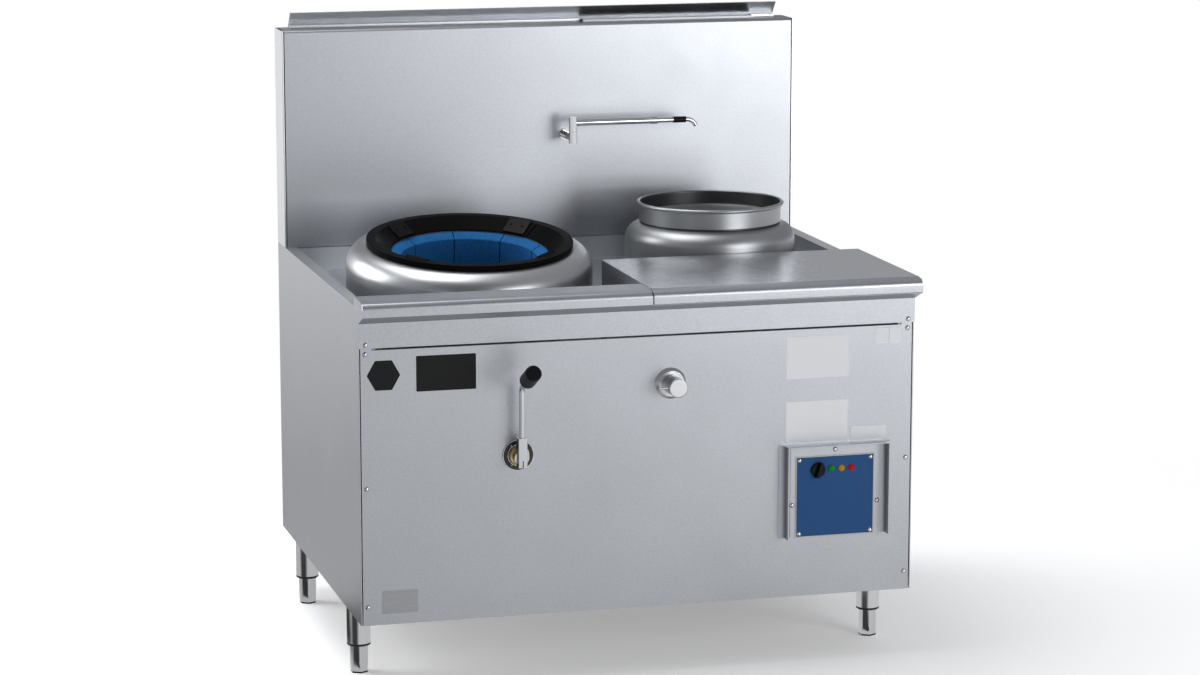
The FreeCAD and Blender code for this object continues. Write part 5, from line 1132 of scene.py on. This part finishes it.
# ---------------------------------------------------------------- steamer
@dataclass
class Steamer(SubAssembly):
    """Spun dome, beaded collar and dished pan of the right burner."""

    title: str = "steamer"
    radius: float = 190.0
    bulge: float = 35.0
    sheet: float = 2.0
    neck: float = 140.0
    neck_drop: float = 16.0
    collar_radius: float = 158.3
    collar_gap: float = 3.5
    collar_top: float = 47.7
    collar_step: float = 4.0
    spigot_drop: float = 12.0
    fit: float = 0.3
    bead: float = 4.4
    pan_rim: float = 18.0
    pan_gap: float = 1.2
    pan_sheet: float = 1.5
    pan_shoulder: float = 6.0
    dish: Profile = ((140.0, -3.6), (129.0, -6.6), (118.0, -9.0), (46.0, -8.8), (30.0, -5.8), (14.0, -3.6),
                     (0.0, -3.0))
    floor: float = -118.5

    def build(self) -> None:
        """Spin the dome, the collar and the pan round the steamer's axis."""
        dome = turned_piece("steamer_dome_spun", self.dome_profile(), 128)
        collar = turned_piece("steamer_collar_spun", self.collar_profile(), 128)
        pan = turned_piece("steam_pan_spun", self.pan_profile(), 128, 1.2, segments=4)
        for piece, body, finish, node, angle in ((dome, Body.CABINET, SPUN_STEAMER, "steamer_dome", 40.0),
                                                 (collar, Body.COLLAR, SPUN_COLLAR_SHADED_INSIDE, "steamer_collar", 35.0),
                                                 (pan, Body.PAN, SPUN_PAN, "steam_pan", 50.0)):
            lean_onto(piece, STEAMER_AXIS)
            self.add(piece, body, finish, node, angle=angle)
        self.take("steamer_burner", "steamer_ring_burner", Body.CABINET, CAST, flatten=False)

    def dome_profile(self) -> list[Flat]:
        """Skirt, round shoulder, flat seat and neck."""
        r = self.radius
        b = self.bulge
        t = self.sheet
        outer = arc((r - b, -b), b, 0.0, 90.0, 12)
        inner = arc((r - b, -b), b - t, 90.0, 0.0, 12)
        n = self.neck
        neck = [(n, 0), (n, -self.neck_drop), (n + t, -self.neck_drop), (n + t, -t)]
        return [(r, self.floor), *outer, *neck, *inner, (r - t, self.floor)]

    def collar_profile(self) -> list[Flat]:
        """Spigot, step, upright wall and a rolled bead."""
        r = self.collar_radius
        t = self.sheet
        low = self.collar_gap
        foot = r - self.collar_step
        seat = self.fit
        spigot = self.neck - self.fit
        end = -self.spigot_drop
        curl = self.collar_top - self.bead
        bead = arc((r + self.bead - t, curl), self.bead, -160.0, 160.0, 18)
        wall = [(r - t, curl - 1.0), (r - t, low + t), (foot - t, low + t), (foot - t, seat + t)]
        below = [(spigot - t, seat + t), (spigot - t, end), (spigot, end), (spigot, seat)]
        return [(r, low + 0.6), (r, curl - 1.6), *bead, *wall, *below, (foot, seat), (foot, low), (r - 0.6, low)]

    def pan_profile(self) -> list[Flat]:
        """Upright side, round shoulder, sloping dish and raised middle."""
        t = self.pan_sheet
        k = self.pan_shoulder
        rim = self.pan_rim
        r = self.collar_radius - self.sheet - self.pan_gap
        low = self.collar_gap + self.sheet + self.fit
        outer = arc((r - k, rim - k), k, 0.0, 90.0, 6)
        inner = arc((r - k, rim - k), k - t, 90.0, 0.0, 6)
        slope = [(x, rim + z) for x, z in self.dish]
        under = [(x, z - t) for x, z in reversed(slope)]
        return [(r, low), *outer, *slope, *under, *inner, (r - t, low)]

    def dress(self) -> None:
        """Finish the chamber below the neck."""
        self.paint(CHAMBER, "steamer_chamber")


# ---------------------------------------------------------------- gas lever
@dataclass
class GasControl(SubAssembly):
    """Dial, brass nose, clamp block, bent rod and dark grip."""

    title: str = "gas control"
    dial_radius: float = 33.0
    dial_bore: float = 20.05
    dial_thick: float = 3.0
    dial_edge: float = 0.8
    grip_radius: float = 17.0
    grip_length: float = 62.0
    grip_start: float = 50.0
    grip_bore: float = 6.0
    grip_bore_depth: float = 30.0
    rise: float = 26.0
    bend_height: float = 149.0
    rod_y: float = -36.5
    side_facing: float = 0.9

    def build(self) -> None:
        """Turn the dial and the grip; take over the nose, the block and the rod."""
        r = self.dial_radius
        bore = self.dial_bore
        front = self.dial_thick
        dial = turned_piece("gas_dial_turned", [(bore, 0), (r, 0), (r, front - self.dial_edge),
                                                (r - self.dial_edge, front), (bore, front)], 96, 0.2)
        face_front(dial, DIAL_CENTRE)
        self.add(dial, Body.CABINET, DIAL, "gas_dial")
        self.take("gas_valve", "gas_valve_body", Body.CABINET, BRASS, 0.0008, flatten=False)
        block = self.take("lever_block", "lever_block_clamp", Body.LEVER, BRIGHT, 0.0006, 50.0)
        # Painted reflection: the block's left and right faces are painted near-black.
        self.second_finish(block, BLOCK_SIDE_PAINTED_REFLECTION, lambda face: abs(face.normal.x) > self.side_facing)
        self.take("valve_spindle", "valve_spindle_end", Body.LEVER, BRIGHT, 0.0005, 50.0, flatten=False)
        self.take("lever_rod", "lever_rod_bent", Body.LEVER, CHROME, flatten=False)
        self.add(self.grip(), Body.LEVER, PLASTIC, "lever_grip", angle=40.0)

    def grip(self) -> Piece:
        """The grip: a turned barrel, slightly waisted towards the rod, with a flat end."""
        r = self.grip_radius
        end = self.grip_length
        barrel = turned_piece("lever_grip_turned", [
            (self.grip_bore, 0), (r - 2.2, 0), (r - 0.2, 2.4), (r, 8.0), (r, end - 2.4), (r - 2.2, end),
            (0, end), (0, self.grip_bore_depth), (self.grip_bore, self.grip_bore_depth)], 72, 0.9)
        barrel.rotation_euler = (math.radians(90.0 - self.rise), 0.0, 0.0)
        tilt = math.radians(self.rise)
        barrel.location = place(DIAL_X, self.rod_y - self.grip_start * math.cos(tilt),
                                DIAL_Z + self.bend_height + self.grip_start * math.sin(tilt))
        settle(barrel)
        return barrel


@dataclass
class WaterControl(SubAssembly):
    """Cover plate, round knob and cross pin of the water valve."""

    title: str = "water control"
    flange: Profile = ((9.3, 0), (33.0, 0), (33.0, 2.0), (31.0, 4.2), (28.6, 7.4), (27.0, 9.0), (9.3, 9.0))
    knob: Profile = ((0, -42.0), (9.0, -42.0), (9.0, 10.0), (18.5, 10.0), (20.0, 11.5), (20.0, 58.5),
                     (18.5, 60.0), (0, 60.0))

    def build(self) -> None:
        """Turn the plate and the knob."""
        plate = turned_piece("valve_flange_turned", self.flange, 96, 0.5)
        face_front(plate, WATER_CENTRE)
        self.add(plate, Body.CABINET, SATIN, "valve_flange", angle=40.0)
        knob = turned_piece("valve_knob_turned", self.knob, 96, 0.6, closed=False)
        face_front(knob, WATER_CENTRE)
        self.add(knob, Body.KNOB, SATIN, "valve_knob", angle=40.0)
        self.take("valve_pin", "valve_pin_rod", Body.KNOB, BRIGHT, 0.0003, 50.0, flatten=False)

    def dress(self) -> None:
        """Finish the valve body behind the panel."""
        self.paint(BRASS, "water_valve")


# ---------------------------------------------------------------- control box
@dataclass
class ControlBox(SubAssembly):
    """Guard, grey plate, blue face, selector and three lamps."""

    title: str = "control box"
    face_y: float = -3.5
    lamp_z: float = 59.0
    lamp_first: float = -8.6
    lamp_pitch: float = 22.5
    lamp_body: Profile = ((0, -40.0), (5.5, -40.0), (5.5, 0), (6.6, 0), (6.6, 1.2))
    lens_centre: Flat = (0.0, -5.6)
    lens_radius: float = 10.0
    lens_start: float = 44.0
    lenses: tuple[Finish, ...] = (LENS_GREEN, LENS_AMBER, LENS_RED)
    skirt: Profile = ((0, -20.0), (3.0, -20.0), (3.0, 0), (15.8, 0), (15.8, 3.6), (14.6, 5.0), (0, 5.0))
    bar_low: Point = (-0.005, -0.0175, 0.003)
    bar_high: Point = (0.005, 0.0175, 0.016)
    bar_taper: Point = (0.7, 0.885, 1.0)
    selector_turn: float = -18.0
    selector_place: Point = (-38.6, -0.3, 57.5)

    def build(self) -> None:
        """Take over the plates; turn the lamps; model the selector."""
        self.take("control_guard", "control_guard_sheet", Body.CABINET, SHEET, 0.0004, angle=28.0)
        self.take("control_plate", "control_plate_sheet", Body.CABINET, SHEET, 0.0004)
        self.take("control_face", "control_face_print", Body.CABINET, FACE, 0.0003)
        self.lamps()
        self.add(self.selector(), Body.SELECTOR, PLASTIC, "selector_knob", angle=30.0)
        for node in ("control_screws", "panel_screws"):
            self.take(node, node + "_set", Body.CABINET, SCREW, flatten=False, angle=45.0)

    def lamps(self) -> None:
        """Three domed lenses, each on a thin collar, with their bodies behind."""
        profile = [*self.lamp_body, *arc(self.lens_centre, self.lens_radius, self.lens_start, 90.0)]
        for index, finish in enumerate(self.lenses):
            lamp = turned_piece("lamp_" + finish.name, profile, 48, 0.15, closed=False)
            x = FACE_X + self.lamp_first + index * self.lamp_pitch
            face_front(lamp, place(x, self.face_y, FACE_Z + self.lamp_z))
            stands_for = ("pilot_lamps",) if index == 0 else ()
            self.add(lamp, Body.CABINET, finish, *stands_for, angle=40.0)

    def selector(self) -> Piece:
        """Round skirt with a raised pointer bar that tapers to its top."""
        skirt = turned_piece("selector_skirt", self.skirt, 72, 0.4, closed=False)
        bar = box_piece("selector_bar", Vector(self.bar_low), Vector(self.bar_high))
        pick(bar, "FACE", lambda mesh, f: f.normal.z > 0.9)
        with editing(bar):
            bpy.ops.transform.resize(value=self.bar_taper)
        ease_edges(bar, 0.0011, 3)
        knob = joined([skirt, bar], "selector_knob_moulded")
        knob.rotation_euler = (0.0, 0.0, math.radians(self.selector_turn))
        settle(knob)
        x, y, z = self.selector_place
        face_front(knob, place(FACE_X + x, self.face_y + y, FACE_Z + z))
        return knob

    def dress(self) -> None:
        """Finish the box and the switch behind the panel."""
        self.paint(ENCLOSURE, "control_box")
        self.paint(PLASTIC, "selector_switch")


# ---------------------------------------------------------------- tap
@dataclass
class Tap(SubAssembly):
    """Swivel tap on the splashback."""

    title: str = "tap"
    edge: float = 0.0004
    inlet_edge: float = 0.0005

    def build(self) -> None:
        """Take over the turned pieces with eased edges."""
        self.take("tap_inlet", "tap_inlet_turned", Body.CABINET, CHROME, self.inlet_edge, 50.0, False, 40.0)
        for node, finish in (("tap_riser", CHROME), ("tap_arm", CHROME), ("tap_sleeve", PLASTIC),
                             ("tap_nozzle", CHROME)):
            self.take(node, node + "_turned", Body.SPOUT, finish, self.edge, 50.0, False, 40.0)


@dataclass
class Pipework(SubAssembly):
    """Gas and water pipes behind the panels."""

    title: str = "pipework"

    def build(self) -> None:
        """Take over the pipes with smooth bends."""
        self.take("gas_pipework", "gas_pipes_bent", Body.CABINET, PIPE_STEEL, flatten=False, angle=45.0)
        self.take("water_pipes", "water_pipes_bent", Body.CABINET, BRIGHT, flatten=False, angle=45.0)


# ---------------------------------------------------------------- blank plates
@dataclass
class BlankPlate:
    """One thin plate on the front panel, left bare.

    Args:
        name: The piece's name.
        x0: Left edge in millimetres.
        x1: Right edge.
        z0: Lower edge.
        z1: Upper edge.
        finish: Its finish.
        corner: Rounding of its corners in millimetres.
        hexagon: Whether its outline is a hexagon with points at both sides.
    """

    name: str
    x0: float
    x1: float
    z0: float
    z1: float
    finish: Finish
    corner: float = 1.5
    hexagon: bool = False


@dataclass
class BarePlates(SubAssembly):
    """Thin plates and stickers without any print."""

    title: str = "bare plates"
    thickness: float = 0.5
    edge: float = 0.00012
    plates: tuple[BlankPlate, ...] = (
        BlankPlate("plate_hexagon", -582.5, -513.0, 642.0, 703.5, PLATE_BLACK, 1.0, True),
        BlankPlate("plate_dark", -479.5, -354.0, 635.4, 709.7, PLATE_BLACK),
        BlankPlate("plate_pale_upper", 315.5, 454.5, 619.8, 709.8, PLATE_WHITE, 3.0),
        BlankPlate("plate_pale_lower", 316.0, 454.0, 483.0, 571.3, PLATE_WHITE, 3.0),
        BlankPlate("plate_pale_small", 461.0, 540.5, 481.5, 510.9, PLATE_WHITE, 1.0),
        BlankPlate("sticker_left", 513.5, 542.2, 686.0, 720.6, PLATE_WHITE, 0.6),
        BlankPlate("sticker_right", 544.9, 571.9, 686.0, 720.6, PLATE_WHITE, 0.6),
        BlankPlate("plate_rating", -555.6, -480.3, 171.0, 219.2, PLATE_METAL, 0.8),
    )

    def build(self) -> None:
        """Cut each plate and round its corners."""
        for plate in self.plates:
            self.add(self.cut(plate), Body.CABINET, plate.finish)

    def cut(self, plate: BlankPlate) -> Piece:
        """One plate from a box.

        Args:
            plate: Its sizes.

        Returns:
            The piece.
        """
        low = place(plate.x0, -self.thickness, plate.z0)
        piece = box_piece(plate.name, low, place(plate.x1, 0.0, plate.z1))
        if plate.hexagon:
            self.point_sides(piece, plate)
        pick(piece, "EDGE", lambda mesh, e: abs(edge_points(mesh, e)[0].y - edge_points(mesh, e)[1].y) > 1e-4)
        with editing(piece, "EDGE"):
            bpy.ops.mesh.bevel(offset=plate.corner * MM, segments=4, affect="EDGES")
        ease_edges(piece, self.edge, 1, 60.0)
        return piece

    def point_sides(self, piece: Piece, plate: BlankPlate) -> None:
        """Draw both ends of a box out to points, which makes its outline a hexagon.

        Args:
            piece: The box.
            plate: Its sizes.
        """
        reach = (plate.x1 - plate.x0) / 4 * MM
        middle = (plate.x0 + plate.x1) / 2 * MM
        height = (plate.z0 + plate.z1) / 2 * MM
        pivot = (middle, piece.data.vertices[0].co.y, 0.0)
        with editing(piece, everything=True):
            bpy.ops.transform.resize(value=(0.5, 1.0, 1.0), center_override=pivot)
        for side in (-1, 1):
            with editing(piece, everything=True):
                bpy.ops.mesh.bisect(plane_co=(0.0, 0.0, height), plane_no=(0.0, 0.0, 1.0))
            pick(piece, "VERT", lambda mesh, v, s=side: abs(v.co.z - height) < 1e-5
                 and (v.co.x - middle) * s > 1e-4)
            with editing(piece, "VERT"):
                bpy.ops.transform.translate(value=(side * reach, 0.0, 0.0))


# ---------------------------------------------------------------- studio
@dataclass
class Lamp:
    """One soft area lamp.

    Args:
        name: Its name.
        place: Where it stands, in metres.
        aim: The point that it faces.
        size: Width and height in metres.
        watts: Its power.
    """

    name: str
    place: Point
    aim: Point
    size: tuple[float, float]
    watts: float


@dataclass
class Studio:
    """Pale floor, soft lamps and the camera."""

    camera_place: Point = (-1.96154, -7.27896, 2.04879)
    camera_turn: Point = (79.532, 0.0, -15.193)
    focal: float = 105.23
    floor_near: float = 1.1
    floor_far: float = 2.6
    floor_glow: float = 0.3
    floor_tones: tuple[Point, Point] = ((0.86, 0.86, 0.865), (0.88, 0.88, 0.885))
    gloss_shadow_spot: Point = (-1.2, 1.6, 0.0)
    gloss_shadow_level: float = 0.5
    gloss_shadow_reach: float = 5.4
    dark_corners: tuple[tuple[Point, float, float], ...] = (
        ((-0.59, -0.24, 0.0), 9.0, 0.42), ((-0.59, -0.24, 0.0), 1.0, 0.92), ((-0.59, 0.35, 0.0), 0.9, 0.92),
        ((0.55, -0.24, 0.0), 0.62, 0.92))
    dark_side: Point = (-0.766, -0.643, 0.0)
    dark_start: float = 0.71
    dark_full: float = 0.94
    sky_aim: Point = (-0.18, -0.86, 0.477)
    sky_level: float = 0.3
    sky_start: float = 0.74
    sky_full: float = 0.94
    room_strength: float = 0.7
    room_tones: tuple[tuple[float, Point], ...] = (
        (0.42, (0.62, 0.63, 0.66)), (0.5, (0.66, 0.67, 0.69)), (0.62, (0.5, 0.51, 0.53)),
        (1.0, (0.62, 0.63, 0.65)))
    lamps: tuple[Lamp, ...] = (
        Lamp("key", (3.0, -5.2, 1.7), (0.3, 0.2, 0.95), (3.0, 2.4), 117.0),
        Lamp("fill", (-4.3, 2.3, 2.4), (-0.3, 0.0, 0.8), (3.4, 2.6), 150.0),
        Lamp("top", (-1.1, 0.5, 4.3), (0.0, 0.1, 0.8), (3.6, 2.4), 95.0),
    )

    def build(self) -> None:
        """Set up the whole studio."""
        self.floor()
        self.world()
        for lamp in self.lamps:
            self.light(lamp)
        self.camera()
        bpy.context.scene.view_settings.view_transform = "Standard"

    def floor(self) -> None:
        """A wide pale floor that keeps the object's shadow; in gloss it glows, with a painted shadow round a
        spot behind the object and painted dark screens towards the front left.
        """
        deselect()
        bpy.ops.mesh.primitive_plane_add(size=40.0, location=(0.0, 0.0, 0.0))
        floor = bpy.context.view_layer.objects.active
        floor.name = "studio_floor"
        net = Network("studio_floor")
        net.preset(Roughness=0.9, Specular_IOR_Level=0.1, Emission_Color=(1.0, 1.0, 1.0, 1.0))
        tone = net.ranged(net.noise(net.coordinates(), 0.6), 0.0, 1.0)
        net.drive("Base Color", net.blended(tone, *self.floor_tones))
        paths = net.add("ShaderNodeLightPath").outputs
        net.drive("Emission Strength", net.math("MULTIPLY", paths["Is Camera Ray"], self.floor_glow))
        far = net.ranged(net.length(net.coordinates()), 0.0, 1.0, self.floor_near, self.floor_far)
        # Painted shadow: the floor's glow in gloss is dimmer near a spot behind the object, where its shadow
        # falls.
        away = net.length(net.coordinates(Vector(self.gloss_shadow_spot)))
        behind = net.ranged(away, self.gloss_shadow_level, 1.0, 0.0, self.gloss_shadow_reach)
        level = net.math("MULTIPLY", behind, self.side_level(net))
        # The floor glows for glossy rays; the glow is a painted reflection of the lit floor.
        mirrored = net.add("ShaderNodeEmission")
        net.join(level, mirrored.inputs["Strength"])
        white = net.add("ShaderNodeEmission")
        glossed = net.mixed(paths["Is Glossy Ray"], net.shader.outputs["BSDF"], mirrored.outputs["Emission"])
        faded = net.math("MULTIPLY", paths["Is Camera Ray"], far)
        clear = net.mixed(faded, glossed, white.outputs["Emission"])
        net.join(clear, net.out.inputs["Surface"])
        floor.data.materials.append(net.material)

    def side_level(self, net: Network) -> Socket:
        """How light the floor looks in gloss: low towards the front left, as beside a dark screen.

        Args:
            net: The floor's network.

        Returns:
            The level, from 0 to 1.
        """
        screens = []
        for corner, reach, depth in self.dark_corners:
            place_on_floor = net.coordinates(Vector(corner))
            outward = net.vector("NORMALIZE", place_on_floor).outputs["Vector"]
            facing = net.vector("DOT_PRODUCT", outward, self.dark_side).outputs["Value"]
            turned = net.ranged(facing, 0.0, 1.0, self.dark_start, self.dark_full)
            near = net.ranged(net.length(place_on_floor), depth, 0.0, reach * 0.6, reach)
            screens.append(net.math("MULTIPLY", turned, near))
        return net.math("SUBTRACT", 1.0, net.highest(screens))

    def world(self) -> None:
        """White where the camera looks; a soft pale room for light and gloss."""
        world = bpy.data.worlds.new("studio_room")
        bpy.context.scene.world = world
        world.use_nodes = True
        net = Graph(world.node_tree)
        direction = net.add("ShaderNodeTexCoord").outputs["Generated"]
        room = net.add("ShaderNodeBackground")
        facing = net.vector("DOT_PRODUCT", direction, self.sky_aim).outputs["Value"]
        strength = net.ranged(facing, self.room_strength, self.room_strength * self.sky_level, self.sky_start,
                              self.sky_full)
        net.join(strength, room.inputs["Strength"])
        ramp = net.add("ShaderNodeValToRGB")
        stops = ramp.color_ramp.elements
        for index, (at, tone) in enumerate(self.room_tones):
            stop = stops[index] if index < len(stops) else stops.new(at)
            stop.position = at
            stop.color = (*tone, 1.0)
        net.join(net.math("MULTIPLY_ADD", net.split(direction)["Z"], 0.5, 0.5), ramp.inputs["Fac"])
        net.join(ramp.outputs["Color"], room.inputs["Color"])
        seen = net.add("ShaderNodeBackground")
        seen.inputs["Color"].default_value = (1.0, 1.0, 1.0, 1.0)
        seen.inputs["Strength"].default_value = 1.0
        camera_ray = net.add("ShaderNodeLightPath").outputs["Is Camera Ray"]
        surface = net.mixed(camera_ray, room.outputs["Background"], seen.outputs["Background"])
        net.join(surface, net.add("ShaderNodeOutputWorld").inputs["Surface"])

    def light(self, lamp: Lamp) -> None:
        """Place one area lamp.

        Args:
            lamp: Its sizes.
        """
        data = bpy.data.lights.new(lamp.name, "AREA")
        data.shape = "RECTANGLE"
        data.size, data.size_y = lamp.size
        data.energy = lamp.watts
        holder = bpy.data.objects.new("lamp_" + lamp.name, data)
        bpy.context.scene.collection.objects.link(holder)
        holder.location = lamp.place
        holder.rotation_euler = (Vector(lamp.aim) - Vector(lamp.place)).to_track_quat("-Z", "Y").to_euler()

    def camera(self) -> None:
        """The camera at the viewing angle of the photograph."""
        data = bpy.data.cameras.new("view")
        data.lens = self.focal
        data.sensor_width = 36.0
        data.sensor_fit = "HORIZONTAL"
        data.clip_end = 200.0
        holder = bpy.data.objects.new("camera", data)
        bpy.context.scene.collection.objects.link(holder)
        holder.location = self.camera_place
        holder.rotation_euler = tuple(math.radians(a) for a in self.camera_turn)
        bpy.context.scene.camera = holder


def main() -> None:
    """Build every sub-assembly in order, then the studio."""
    logging.basicConfig(level=logging.INFO, format="%(message)s")
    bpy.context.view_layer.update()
    for group in (Cabinet(), Splashback(), Undercarriage(), WokBurner(), Steamer(), GasControl(), WaterControl(),
                  ControlBox(), Tap(), Pipework(), BarePlates()):
        group.build()
        group.dress()
    Studio().build()


if __name__ == "__main__":
    main()
